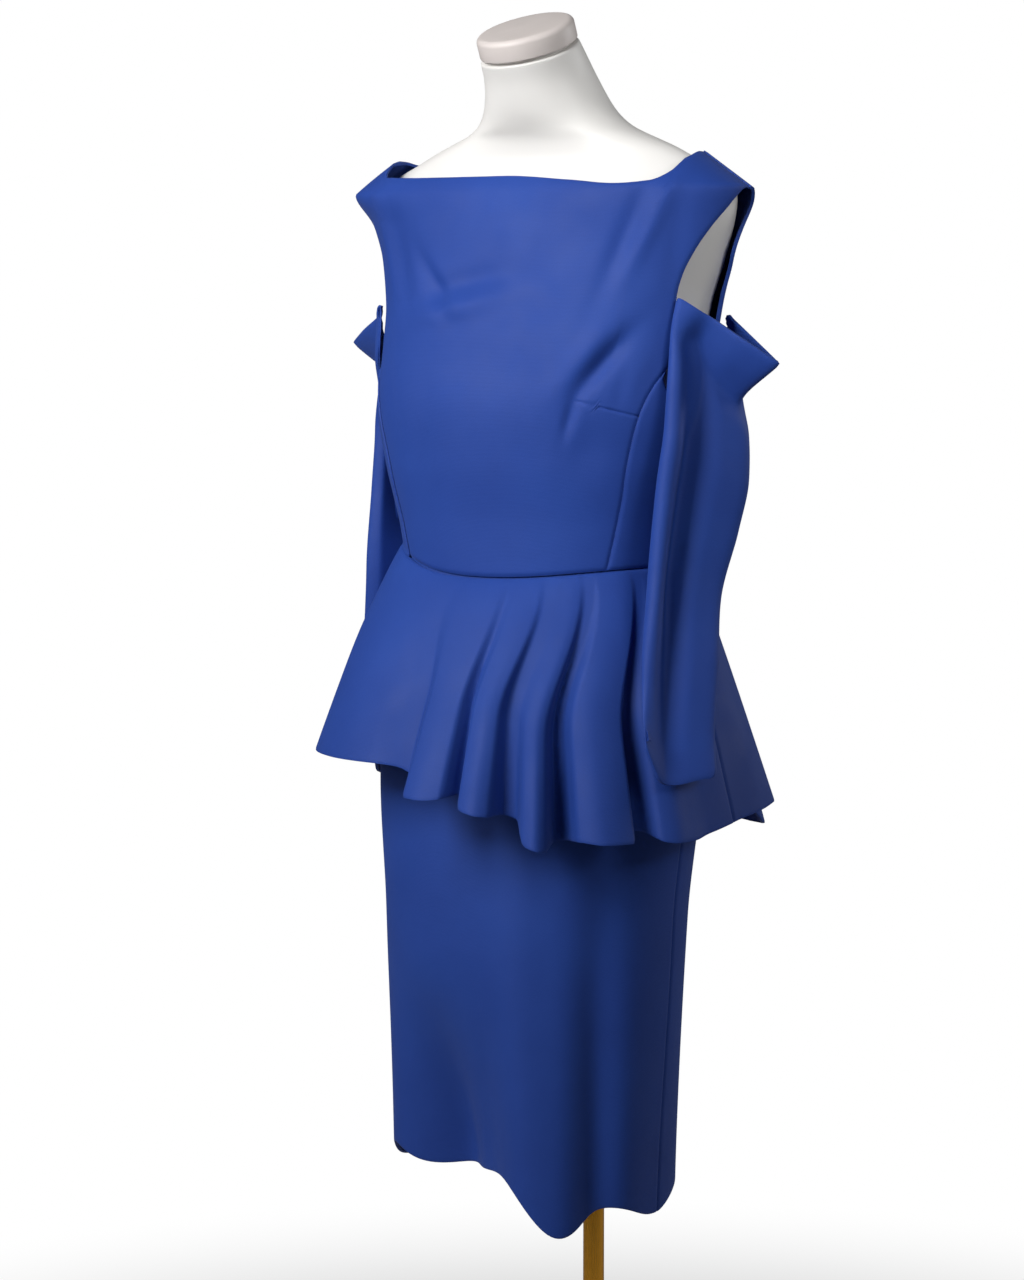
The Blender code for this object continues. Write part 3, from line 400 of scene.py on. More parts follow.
class Curve:
    """A smooth curve through values at rising keys, which never overshoots them."""

    def __init__(self, keys, values):
        self.keys = np.array(keys, float)
        self.values = np.array(values, float)
        steps = np.diff(self.keys)
        slopes = np.diff(self.values) / steps
        before, after = slopes[:-1], slopes[1:]
        level = before * after <= 0
        middle = np.where(level, 0.0, 2 * before * after / np.where(level, 1.0, before + after))
        self.slopes = np.concatenate([slopes[:1], middle, slopes[-1:]])

    def __call__(self, key):
        key = np.clip(key, self.keys[0], self.keys[-1])
        i = np.clip(np.searchsorted(self.keys, key, side="right") - 1, 0, len(self.keys) - 2)
        step = self.keys[i + 1] - self.keys[i]
        t = (key - self.keys[i]) / step
        rise = (self.values[i + 1] - self.values[i]) * t * t * (3 - 2 * t)
        lead = self.slopes[i] * step * t * (1 - t) ** 2
        trail = self.slopes[i + 1] * step * (1 - t) * t**2
        return self.values[i] + rise + lead - trail


def curves_of(rows):
    """One curve for each column of a table, read at the table's first column."""
    keys = [row[0] for row in rows]
    names = rows[0]._fields[1:]
    columns = namedtuple("Columns", names)
    return columns(*(Curve(keys, [getattr(row, name) for row in rows]) for name in names))


BODY = curves_of(BODY_RINGS)
SKIRT = curves_of(SKIRT_RINGS)
EDGE = curves_of(PANEL_EDGES)
FRONT_NECK = curves_of(FRONT_NECKLINE).drop
BACK_NECK = curves_of(BACK_NECKLINE).drop
FLUTE = curves_of(
    [flute._replace(turn=flute.turn - 360) for flute in FLUTES[-3:]]
    + list(FLUTES)
    + [flute._replace(turn=flute.turn + 360) for flute in FLUTES[:3]]
)


def smooth_step(low, high, value):
    t = np.clip((value - low) / (high - low), 0.0, 1.0)
    return t * t * (3 - 2 * t)


def bell(distance, width):
    return np.exp(-((distance / width) ** 2))


def on_ring(turn, half_width, front, back, squareness):
    """Places on a rounded ring, from its middle."""
    power = 2 / squareness
    side, ahead = np.sin(turn), np.cos(turn)
    depth = np.where(ahead > 0, front, back)
    x = half_width * np.copysign(np.abs(side) ** power, side)
    return x, -depth * np.copysign(np.abs(ahead) ** power, ahead)


def waist_drop(turn):
    """The waist seam's drop: lower at the front and back, and at the wearer's left side."""
    middle = np.where(np.cos(turn) > 0, WAIST_FRONT, WAIST_BACK)
    side = WAIST_SIDE + WAIST_TILT * np.sin(turn)
    return side + (middle - side) * np.cos(turn) ** 2


def stand_forward(points, drop, side_share):
    """The back panels' armhole edges, drawn forward so that a band of their outer face shows."""
    beside = smooth_step(FORWARD_FROM, 1.0, side_share)
    down = smooth_step(*FORWARD_DROPS[:2], drop) * (1 - smooth_step(*FORWARD_DROPS[2:], drop))
    return points - np.array([0, ARMHOLE_FORWARD, 0]) * (beside * down)[..., None]


def body_half_width(drop):
    return np.where(drop < 0, SHOULDER_TIP + SHOULDER_SPREAD * drop, BODY.half_width(drop))


def front_folds(x, drop):
    """How far the folds move the front out at a half width and drop."""
    rise = 0.0
    for fold in FRONT_FOLDS:
        lean = math.radians(fold.lean)
        across = (x - fold.x) * math.cos(lean) + (drop - fold.drop) * math.sin(lean)
        along = (x - fold.x) * math.sin(lean) - (drop - fold.drop) * math.cos(lean)
        rise = rise + fold.rise * bell(across, fold.width) * bell(along, fold.length)
    return rise


def shoulder_tilt(x, drop):
    """How much lower the cloth hangs for the tilted shoulders and their raised tips."""
    out = x / SHOULDER_TIP
    tilt = SHOULDER_TILT * (1 - smooth_step(0, TILT_FADES_AT, drop)) * out
    tips = SHOULDER_RISE * (1 - smooth_step(0, RISE_FADES_AT, drop))
    return tilt - tips * np.minimum(out**2, 1.0)


def body_ring(turn, drop):
    """X and Y of the bodice's outer face, from the body's middle, without its folds."""
    half_width = body_half_width(drop)
    x, y = on_ring(turn, half_width, BODY.front(drop), BODY.back(drop), BODY.squareness(drop))
    right = x < 0
    x = np.where(right, x * (1 - BODY.tuck(drop) / half_width), x)
    twist = np.where(right, np.radians(BODY.twist(drop)) * np.sin(turn) ** 2, 0.0)
    return x * np.cos(twist) + y * np.sin(twist), y * np.cos(twist) - x * np.sin(twist)


def body(turn, drop):
    """Places on the bodice's outer face."""
    x, y = body_ring(turn, drop)
    ahead = np.maximum(np.cos(turn), 0.0)
    rise = front_folds(x, drop) * ahead
    x, y = x + rise * np.sin(turn), y - rise * ahead
    return np.stack([x, y + BODY_MIDDLE, SHOULDER_HEIGHT - drop - shoulder_tilt(x, drop)], -1)


def turn_at(x, drop):
    """The turn at which the bodice's front half has this half width."""
    share = np.minimum(np.abs(x) / body_half_width(drop), 1.0)
    return np.copysign(np.arcsin(share ** (BODY.squareness(drop) / 2)), x)


def back_turn(x, drop):
    return np.copysign(math.pi, x) - turn_at(x, drop)


def wrapped(degrees):
    """The same angle between -180 and 180 degrees."""
    return (degrees + 180) % 360 - 180


def skirt(turn, share):
    """Places on the skirt's outer face, from just inside the peplum's top edge to its hem."""
    top = waist_drop(turn)
    drop = top + (HEM_DROP - top) * share
    front = np.cos(turn) > 0
    squareness = np.where(front, SKIRT.squareness(drop), SKIRT.back_squareness(drop))
    x, y = on_ring(turn, SKIRT.half_width(drop), SKIRT.front(drop), SKIRT.back(drop), squareness)
    y = y + SKIRT_MIDDLE
    inset = CLOTH + LAYER_GAP
    top_x, top_y = body_ring(turn, top)
    top_x, top_y = top_x - inset * np.sin(turn), top_y + inset * np.cos(turn) + BODY_MIDDLE
    free = smooth_step(top, SKIRT_FREE_DROP, drop)
    x, y = top_x + (x - top_x) * free, top_y + (y - top_y) * free
    lift = 0.0
    for dent in SKIRT_DENTS:
        away = wrapped(np.degrees(turn) - dent.turn)
        dented = bell(away, dent.width) * smooth_step(dent.start, HEM_DROP, drop)
        x = x - dent.depth * dented * np.sin(turn)
        y = y + dent.depth * dented * np.cos(turn)
        lift = lift + dent.lift * dented
    return np.stack([x, y, SHOULDER_HEIGHT - drop + lift], -1)


def peplum_waist(turn):
    """X and Y of the peplum's top edge, from the peplum's middle."""
    x, y = body_ring(turn, waist_drop(turn))
    return x, y + BODY_MIDDLE - PEPLUM_MIDDLE


def peplum_reach(turn, share, least=-math.inf):
    """Distance of the peplum from its middle, at a share of its length from the waist.

    A flute stands out at least as far as the last value says.
    """
    waist = np.hypot(*peplum_waist(turn))
    ahead = np.cos(turn)
    deep = np.where(ahead > 0, FLARE_FRONT, FLARE_BACK)
    mean = FLARE_SIDE + (deep - FLARE_SIDE) * ahead**2
    power = FLARE_POWER + LEFT_FLARE_POWER * np.clip(np.sin(turn), 0, 1) ** 4
    rise = np.maximum(FLUTE.rise(wrapped(np.degrees(turn))), least)
    return waist + (mean - waist) * share**power + rise * share**FLUTE_POWER


def peplum(turn, share):
    """Places on the peplum's outer face."""
    share = np.maximum(share, 1e-4)
    top = waist_drop(turn)
    drop = top + (FLUTE.drop(wrapped(np.degrees(turn))) - top) * share
    # The top edge keeps the bodice's own turn, which isn't the plain angle round the middle
    waist_x, waist_y = peplum_waist(turn)
    length = np.hypot(waist_x, waist_y)
    plain = smooth_step(0, 0.6, share)
    x = waist_x / length * (1 - plain) + np.sin(turn) * plain
    y = waist_y / length * (1 - plain) - np.cos(turn) * plain
    reach = peplum_reach(turn, share) / np.hypot(x, y)
    return np.stack([x * reach, y * reach + PEPLUM_MIDDLE, SHOULDER_HEIGHT - drop], -1)


def spread_lines(count, length):
    """Shares from 0 to 1 for a side of this length, closer together beside its two ends."""
    near = np.array(EDGE_LINES) / length
    even = np.linspace(near[-1], 1 - near[-1], count)
    return np.concatenate([[0.0], near[:-1], even, 1 - near[-2::-1], [1.0]])


def lengths_along(points, axis):
    """Distance along the cloth from the first line of points, in metres."""
    steps = np.linalg.norm(np.diff(points, axis=axis), axis=-1)
    start = np.zeros_like(np.take(steps, [0], axis=axis))
    return np.concatenate([start, np.cumsum(steps, axis=axis)], axis=axis)


def facing(points):
    """The outward direction at each point of a grid of rows from the bottom up."""
    out = np.cross(np.gradient(points, axis=1), np.gradient(points, axis=0))
    return out / np.maximum(np.linalg.norm(out, axis=-1, keepdims=True), 1e-12)


def roll_edges(points, sewn=(), free=()):
    """The grid with each seam's edge drawn in to a fine groove, and each free edge rounded over."""
    across, up = lengths_along(points, 1), lengths_along(points, 0)
    away = {
        "first": across,
        "last": across[:, -1:] - across,
        "bottom": up,
        "top": up[-1:] - up,
    }
    sink = np.zeros(points.shape[:2])
    for side in sewn:
        sink = np.maximum(sink, SEAM_DEPTH * bell(away[side], SEAM_WIDTH))
    for side in free:
        sink = np.maximum(sink, EDGE_ROLL * bell(away[side], EDGE_ROLL_WIDTH))
    return points - facing(points) * sink[..., None]


def cloth_piece(node, points, finish, folded, around=False):
    """The worn panel that takes a node's place, from a grid of places on its outer face.

    The rows run from the bottom up, and folded says how far each point is in a turned-in edge.
    """
    name = f"{node}_cloth"
    rows, columns = points.shape[:2]
    bpy.ops.object.select_all(action="DESELECT")
    bpy.ops.mesh.primitive_grid_add(x_subdivisions=columns - 1, y_subdivisions=rows - 1, size=1)
    panel = bpy.context.object
    panel.name = panel.data.name = name
    mesh = panel.data
    mesh.vertices.foreach_set("co", points.reshape(-1).astype(np.float32))
    corner = np.empty(len(mesh.loops), np.int32)
    mesh.loops.foreach_get("vertex_index", corner)
    unrolled = np.stack([lengths_along(points, 1), lengths_along(points, 0)], -1).reshape(-1, 2)
    mesh.uv_layers.active.data.foreach_set("uv", unrolled[corner].reshape(-1).astype(np.float32))
    mesh.update()
    group = panel.vertex_groups.new(name="folded edge")
    weights = np.round(folded.reshape(-1), 1)
    for level in np.unique(weights):
        chosen = np.nonzero(weights == level)[0]
        group.add([int(i) for i in chosen], float(level), "REPLACE")
    if around:
        bpy.ops.object.mode_set(mode="EDIT")
        bpy.ops.mesh.select_all(action="SELECT")
        bpy.ops.mesh.remove_doubles(threshold=1e-6)
        bpy.ops.object.mode_set(mode="OBJECT")
    wall = panel.modifiers.new("wall", "SOLIDIFY")
    wall.thickness = FOLDED_EDGE
    wall.offset = -1
    wall.vertex_group = group.name
    wall.thickness_vertex_group = CLOTH / FOLDED_EDGE
    bpy.ops.object.modifier_apply(modifier=wall.name)
    rim = panel.modifiers.new("rim", "BEVEL")
    rim.width = RIM_BEVEL
    rim.segments = 2
    rim.limit_method = "ANGLE"
    rim.angle_limit = math.radians(60)
    bpy.ops.object.modifier_apply(modifier=rim.name)
    bpy.ops.object.shade_smooth_by_angle(angle=math.radians(50))
    panel.data.materials.append(finish)
    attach(panel, "root")
    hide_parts(node)


def free_edge(points, side, depth=NECK_ALLOWANCE):
    """How far each point is into the turned-in allowance of a free edge: 1 at the edge, then 0."""
    axis = 1 if side in ("first", "last") else 0
    along = lengths_along(points, axis)
    if side == "last":
        along = along[:, -1:] - along
    if side == "top":
        along = along[-1:] - along
    return 1 - smooth_step(0.6 * depth, depth, along)


def panel_places(shares, levels, edge, neck, turn_of):
    """Places on a front or back panel, a row for each share of its height, from the waist up."""
    across, risen = np.meshgrid(shares, levels)
    tip = np.abs(across) > NECK_END
    top = np.where(tip, (np.abs(across) - 1) * SHOULDER_TIP / SHOULDER_SPREAD, neck(across))
    waist = waist_drop(turn_of(across * edge(WAIST_SIDE), WAIST_SIDE))
    drop = waist + (top - waist) * risen
    return body(turn_of(across * edge(drop), drop), drop), drop


def armhole_edges(points, drop, whole):
    """The allowance along a panel's armholes and neckline."""
    beside = np.maximum(free_edge(points, "last"), free_edge(points, "first") if whole else 0)
    beside = beside * (drop < ARMHOLE_END_DROP)
    return np.maximum(beside, free_edge(points, "top"))


def panel_lines(grid, whole):
    """Shares across a panel, with a line at each end of its neckline."""
    half = spread_lines(grid.columns, grid.width)
    half = half[half > 0.5 / grid.columns] if whole else half
    away = np.abs(half - NECK_END)
    half = np.where(away == away.min(), NECK_END, half)
    return np.concatenate([-half[::-1], [0.0], half]) if whole else half


def sewn_below(points):
    """A bodice panel with its seams at the sides and the waist, and its top edge free."""
    return roll_edges(points, sewn=("first", "last", "bottom"), free=("top",))


def add_front(finish):
    shares = panel_lines(FRONT_GRID, whole=True)
    dart_levels = np.linspace(*DART_LEVELS, DART_ROWS)
    levels = spread_lines(FRONT_GRID.rows, FRONT_GRID.height)
    levels = np.unique(np.concatenate([levels, dart_levels]))
    points, drop = panel_places(shares, levels, EDGE.front, FRONT_NECK, turn_at)
    folded = armhole_edges(points, drop, whole=True)
    # The bust dart is a seam from its tip out to the princess seam
    x = points[..., 0]
    dart = DART_TIP.drop + (x - DART_TIP.x) * DART_SLOPE
    beyond = smooth_step(DART_TIP.x, DART_TIP.x + DART_FADE, x)
    sink = SEAM_DEPTH * bell(drop - dart, DART_WIDTH) * beyond
    points = sewn_below(points)
    cloth_piece("bodice_front", points - facing(points) * sink[..., None], finish, folded)


def add_back(side_name, side, finish):
    shares = side * np.maximum(panel_lines(BACK_GRID, whole=False), 1e-9)
    levels = spread_lines(BACK_GRID.rows, BACK_GRID.height)
    points, drop = panel_places(shares, levels, EDGE.back, BACK_NECK, back_turn)
    points = stand_forward(points, drop, np.abs(shares)[None, :])
    folded = armhole_edges(points, drop, whole=False)
    points = sewn_below(points)
    if side > 0:
        points, folded = points[:, ::-1], folded[:, ::-1]
    cloth_piece(f"bodice_back_{side_name}", points, finish, folded)


def add_side(side_name, side, finish):
    """A side panel, from its front seam to its back seam and up to the underarm."""
    across = spread_lines(SIDE_GRID.columns, SIDE_GRID.width)
    share, risen = np.meshgrid(across, spread_lines(SIDE_GRID.rows, SIDE_GRID.height))
    start = side * turn_at(EDGE.front(WAIST_SIDE), WAIST_SIDE)
    end = side * back_turn(EDGE.back(WAIST_SIDE), WAIST_SIDE)
    between = waist_drop(start + (end - start) * share)
    # Its top corners lie at the armhole's end, and the edge between them sags to the underarm
    tip = ARMHOLE_END_DROP / WAIST_SIDE
    top_start, top_end = waist_drop(start) * tip, waist_drop(end) * tip
    bow = np.sin(math.pi * np.clip(share, 0, 1)) ** UNDERARM_POWER
    sag = (UNDERARM_DROP - ARMHOLE_END_DROP) * bow
    underarm = top_start + (top_end - top_start) * share + sag
    drop = between + (underarm - between) * risen
    from_turn, to_turn = turn_at(EDGE.front(drop), drop), back_turn(EDGE.back(drop), drop)
    points = body(side * (from_turn + (to_turn - from_turn) * share), drop)
    folded = free_edge(points, "top")
    points = sewn_below(points)
    if side < 0:
        points, folded = points[:, ::-1], folded[:, ::-1]
    cloth_piece(f"side_panel_{side_name}", points, finish, folded)


# What hangs from the waist seam: its places, its girth and length as its grid spaces them,
# its columns over half a turn and its rows, and its hem's allowance
Hanging = namedtuple("Hanging", "places girth length columns rows allowance")
HANGING = {
    "peplum": Hanging(peplum, 1.4, 0.24, 300, 64, PEPLUM_ALLOWANCE),
    "skirt": Hanging(skirt, 0.9, 0.59, 120, 110, SKIRT_ALLOWANCE),
}


def add_hanging(kind, part, start, end, finish):
    """A panel of the peplum or the skirt, between two turns in degrees."""
    made = HANGING[kind]
    turns = end - start
    lines = spread_lines(made.columns * turns // 180, turns / 360 * made.girth)
    down = spread_lines(made.rows, made.length)[::-1]
    points = made.places(*np.meshgrid(np.radians(start + turns * lines), down))
    folded = free_edge(points, "bottom", made.allowance)
    points = roll_edges(points, sewn=("first", "last", "top"), free=("bottom",))
    cloth_piece(f"{kind}_{part}", points, finish, folded)


def right_corner(name, x, y, drop):
    """The left sleeve's corner mirrored, swung back and lifted, the open outer corner first."""
    outer = name == "outer"
    swing = (1.0 if outer else smooth_step(*RIGHT_SWING_DROPS, drop)) * RIGHT_SWING
    if name == "front":
        swing = smooth_step(*RIGHT_FRONT_DROPS, drop) * RIGHT_FRONT_SWING
    swing += (RIGHT_CUFF_SWING - swing) * smooth_step(*RIGHT_CUFF_DROPS, drop)
    ahead = y - BODY_MIDDLE
    away_x = -x * math.cos(swing) + ahead * math.sin(swing)
    away_y = x * math.sin(swing) + ahead * math.cos(swing)
    near_top = 1 - smooth_step(*RIGHT_TOP_DROPS, drop)
    lift = RIGHT_LIFT * near_top * outer
    above, below = RIGHT_ELBOW_DROPS
    squeeze = smooth_step(*above, drop) * (1 - smooth_step(*below, drop)) * outer
    tucked = BODY.tuck(drop) + RIGHT_CORNER_IN * (name == "front")
    x = away_x * (1 - RIGHT_SQUEEZE * squeeze) + tucked * near_top
    return x, away_y + BODY_MIDDLE, drop - lift


def sleeve_corners(side, down):
    """The sleeve's four corners at each place down it: front, outer, back and under."""
    corners = []
    for name in ("front", "outer", "back", "under"):
        places = [getattr(ring, name) for ring in SLEEVE_RINGS]
        if side < 0:
            places = [right_corner(name, *place) for place in places]
        columns = np.array(places, float).T
        x, y, drop = (Curve(range(len(places)), column)(down) for column in columns)
        corners.append(np.stack([x, y, SHOULDER_HEIGHT - drop], -1))
    return corners


def soften(points, passes):
    for _ in range(passes):
        points = (np.roll(points, 1, axis=1) + 2 * points + np.roll(points, -1, axis=1)) / 4
    return points


def clear_of_ring(place, middle, reach):
    """Places moved out from the middle until they lie as far from it as the reach."""
    x, y = place[..., 0], place[..., 1] - middle
    away = np.maximum(np.hypot(x, y), 1e-9)
    scale = np.maximum(reach / away, 1.0)
    return np.stack([x * scale, y * scale + middle, place[..., 2]], -1)


def clear_of_dress(place, hollow):
    """A sleeve's places moved clear of the bodice and the peplum, by its hollow more."""
    drop = SHOULDER_HEIGHT - place[..., 2]
    x, y = place[..., 0], place[..., 1] - BODY_MIDDLE
    squareness = BODY.squareness(drop)
    half_width = body_half_width(drop) - np.where(x < 0, BODY.tuck(drop), 0.0)
    depth = np.where(y < 0, BODY.front(drop), BODY.back(drop))
    inside = np.abs(x / half_width) ** squareness + np.abs(y / depth) ** squareness
    reach = np.hypot(x, y) * inside ** (-1 / squareness)
    reach = np.where(drop < WAIST_SIDE, reach, 0.0)
    place = clear_of_ring(place, BODY_MIDDLE, reach + (SLEEVE_GAP + hollow))
    turn = np.arctan2(place[..., 0], PEPLUM_MIDDLE - place[..., 1])
    top = waist_drop(turn)
    share = (drop - top) / (FLUTE.drop(wrapped(np.degrees(turn))) - top)
    # The gap grows over the first quarter of the peplum
    gap = SLEEVE_GAP + (PEPLUM_CLEARANCE - SLEEVE_GAP) * np.clip(share * 4, 0, 1)
    reach = peplum_reach(turn, np.clip(share, 1e-4, 1), SLEEVE_ON_FLUTES)
    return clear_of_ring(place, PEPLUM_MIDDLE, np.where(share > 0, reach, 0.0) + (gap + hollow))


def sleeve_places(side):
    """Places round the sleeve: out along the front with its fold, back, and in along the body."""
    keys = range(len(SLEEVE_RINGS))
    down = np.linspace(0, len(SLEEVE_RINGS) - 1, SLEEVE_LINES)
    corners = sleeve_corners(side, down)
    middle = sum(corners) / len(corners)
    ridge = Curve(keys, [ring.ridge for ring in SLEEVE_RINGS])(down)
    dip = Curve(keys, [ring.dip for ring in SLEEVE_RINGS])(down)
    profile = Curve(*zip(*FRONT_PROFILE))
    spans, folds = [], []
    for k, count in enumerate(SLEEVE_SPANS):
        start, end = corners[k], corners[(k + 1) % len(corners)]
        share = (np.arange(count * SLEEVE_FINER) / (count * SLEEVE_FINER))[None, :, None]
        spans.append(start[:, None] + (end - start)[:, None] * share)
        folds.append(np.zeros_like(spans[-1]))
        if k > 0:
            continue
        # The ridge and the valley down the front, and the cuff's lowest point
        outward = np.cross(end - start, (0.0, 0.0, 1.0))
        outward /= np.linalg.norm(outward, axis=-1, keepdims=True)
        facing_out = np.sum(outward * ((start + end) / 2 - middle), axis=-1, keepdims=True)
        outward = np.where(facing_out < 0, -outward, outward)
        tip = bell(share - TIP_SHARE, np.where(share < TIP_SHARE, TIP_WIDTH, TIP_TAIL))
        folds[0] = outward[:, None] * ridge[:, None, None] * profile(share)
        folds[0] = folds[0] - np.array([0, 0, 1.0]) * dip[:, None, None] * tip
    points = soften(np.concatenate(spans, axis=1), CORNER_SOFTENING)
    points = points + soften(np.concatenate(folds, axis=1), FOLD_SOFTENING)
    outer_half = (SLEEVE_SPANS[0] + SLEEVE_SPANS[1]) * SLEEVE_FINER
    rising = np.minimum(2 * np.sin(math.pi * np.arange(outer_half) / outer_half), 1.0)
    hollow = np.concatenate([SLEEVE_HOLLOW * rising, np.zeros(points.shape[1] - outer_half)])
    return soften(clear_of_dress(points, hollow[None, :]), LAST_SOFTENING)


def add_sleeve(side_name, side, finish):
    points = sleeve_places(side)[::-1]
    if side < 0:
        points = points[:, ::-1]
    cuff = free_edge(points, "bottom", CUFF_ALLOWANCE)
    folded = np.maximum(cuff, free_edge(points, "top", SLEEVE_TOP_ALLOWANCE))
    # The first line of points comes again at the end, where the two are merged
    points = np.concatenate([points, points[:, :1]], axis=1)
    folded = np.concatenate([folded, folded[:, :1]], axis=1)
    points = roll_edges(points, free=("top", "bottom"))
    points[:, -1] = points[:, 0]
    cloth_piece(f"sleeve_{side_name}", points, finish, folded, around=True)


def select_faces(piece, chosen):
    """Picks, in edit mode, the piece's faces that pass the test, and nothing else."""
    bpy.ops.object.mode_set(mode="EDIT")
    bpy.ops.mesh.select_mode(type="FACE")
    bpy.ops.mesh.select_all(action="DESELECT")
    bpy.ops.object.mode_set(mode="OBJECT")
    for face in piece.data.polygons:
        face.select = bool(chosen(face))
    bpy.ops.object.mode_set(mode="EDIT")


def round_faces(piece, chosen, offset, segments):
    """Rounds the rims of the faces that pass the test."""
    select_faces(piece, chosen)
    bpy.ops.mesh.bevel(offset=offset, segments=segments, affect="EDGES")


def turned_start(name, sides, radius, height, place, tilt=0.0):
    """A round block to shape in edit mode, its place and tilt already in its mesh."""
    bpy.ops.object.select_all(action="DESELECT")
    bpy.ops.mesh.primitive_cylinder_add(
        vertices=sides, radius=radius, depth=height, location=place, rotation=(tilt, 0, 0)
    )
    piece = bpy.context.object
    piece.name = piece.data.name = name
    bpy.ops.object.transform_apply(location=True, rotation=True, scale=True)
    return piece


def finish_rigid(piece, made_of, node, angle):
    bpy.ops.object.mode_set(mode="OBJECT")
    bpy.ops.object.shade_smooth_by_angle(angle=math.radians(angle))
    piece.data.materials.append(made_of)
    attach(piece, "root")
    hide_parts(node)


def draw_up(move):
    """Extrudes the picked face to its next ring."""
    bpy.ops.mesh.extrude_region_move(TRANSFORM_OT_translate={"value": tuple(move)})


def size_ring(scale, centre):
    bpy.ops.transform.resize(value=tuple(scale), center_override=tuple(centre))


def tilt_ring(degrees, centre):
    bpy.ops.transform.rotate(
        value=math.radians(degrees), orient_axis="X", center_override=tuple(centre)
    )


def add_torso(finish):
    """The limbless torso and neck, drawn up ring by ring from its foot, then smoothed."""
    first = FORM_RINGS[0]
    middle, depth = (first.front + first.back) / 2, (first.back - first.front) / 2
    foot = (0, middle, first.z + FORM_START / 2)
    torso = turned_start("torso_and_neck", 48, 1.0, FORM_START, foot)
    for vertex in torso.data.vertices:
        turn = math.atan2(vertex.co.x, middle - vertex.co.y)
        x, y = on_ring(turn, first.half_width, depth, depth, FORM_SQUARENESS)
        vertex.co.x, vertex.co.y = float(x), middle + float(y)
    select_faces(torso, lambda face: face.normal.z > 0.9)
    at, width, tilt = Vector((0, middle, first.z + FORM_START)), first.half_width, 0
    rings = []
    for ring in FORM_RINGS[1:]:
        y, half_depth = (ring.front + ring.back) / 2, (ring.back - ring.front) / 2
        rings.append(NeckRing(y, ring.z, ring.half_width, half_depth, 0))
    for ring in (*rings, *NECK_RINGS):
        to = Vector((0, ring.y, ring.z))
        draw_up(to - at)
        # The last ring's tilt is undone while this one is sized
        tilt_ring(tilt, to)
        size_ring((ring.half_width / width, ring.depth / depth, 1), to)
        tilt_ring(-ring.tilt, to)
        at, width, depth, tilt = to, ring.half_width, ring.depth, ring.tilt
    up = Vector((0, -math.sin(FORM_CAP_TILT), math.cos(FORM_CAP_TILT)))
    draw_up(up * NECK_END_RISE)
    bpy.ops.object.mode_set(mode="OBJECT")
    smooth = torso.modifiers.new("smooth", "SUBSURF")
    smooth.levels = smooth.render_levels = 2
    bpy.ops.object.modifier_apply(modifier=smooth.name)
    for vertex in torso.data.vertices:
        x, drop = vertex.co.x, SHOULDER_HEIGHT - vertex.co.z
        below_neck = 1 - smooth_step(*NECK_FOOT_HEIGHTS, vertex.co.z)
        x += FORM_SHIFT * smooth_step(*FORM_SHIFT_HEIGHTS, vertex.co.z) * below_neck
        vertex.co.x = x
        vertex.co.z -= float(shoulder_tilt(x, drop)) * below_neck
    select_faces(torso, lambda face: face.normal.dot(up) > 0.99 and face.center.z > NECK_TOP_ABOVE)
    stem = FORM_CAP_MIDDLE - up * (FORM_CAP_THICKNESS / 2 + FORM_GROOVE)
    draw_up((0, 0, 0))
    size_ring([FORM_STEM_RADIUS / FORM_CAP_RADIUS] * 3, stem)
    draw_up(up * (FORM_GROOVE - RIGID_GAP))
    finish_rigid(torso, finish, "form_torso", 50)


def add_cap(finish):
    """The slanted disc on the neck: its upper rim is well rounded and its lower one crisp."""
    size = FORM_CAP_RADIUS, FORM_CAP_THICKNESS
    cap = turned_start("neck_cap", 128, *size, FORM_CAP_MIDDLE, FORM_CAP_TILT)
    up = Vector((0, -math.sin(FORM_CAP_TILT), math.cos(FORM_CAP_TILT)))
    round_faces(cap, lambda face: face.normal.dot(up) < -0.9, CRISP_RIM, 3)
    round_faces(cap, lambda face: face.normal.dot(up) > 0.9, CAP_RIM, 7)
    select_faces(cap, lambda face: face.normal.dot(up) > 0.999)
    # The top is very slightly domed
    for inset in CAP_DOME_STEPS:
        bpy.ops.mesh.inset(thickness=inset, depth=0)
        bpy.ops.transform.translate(value=tuple(up * CAP_DOME_RISE))
    finish_rigid(cap, finish, "form_neck_cap", 50)


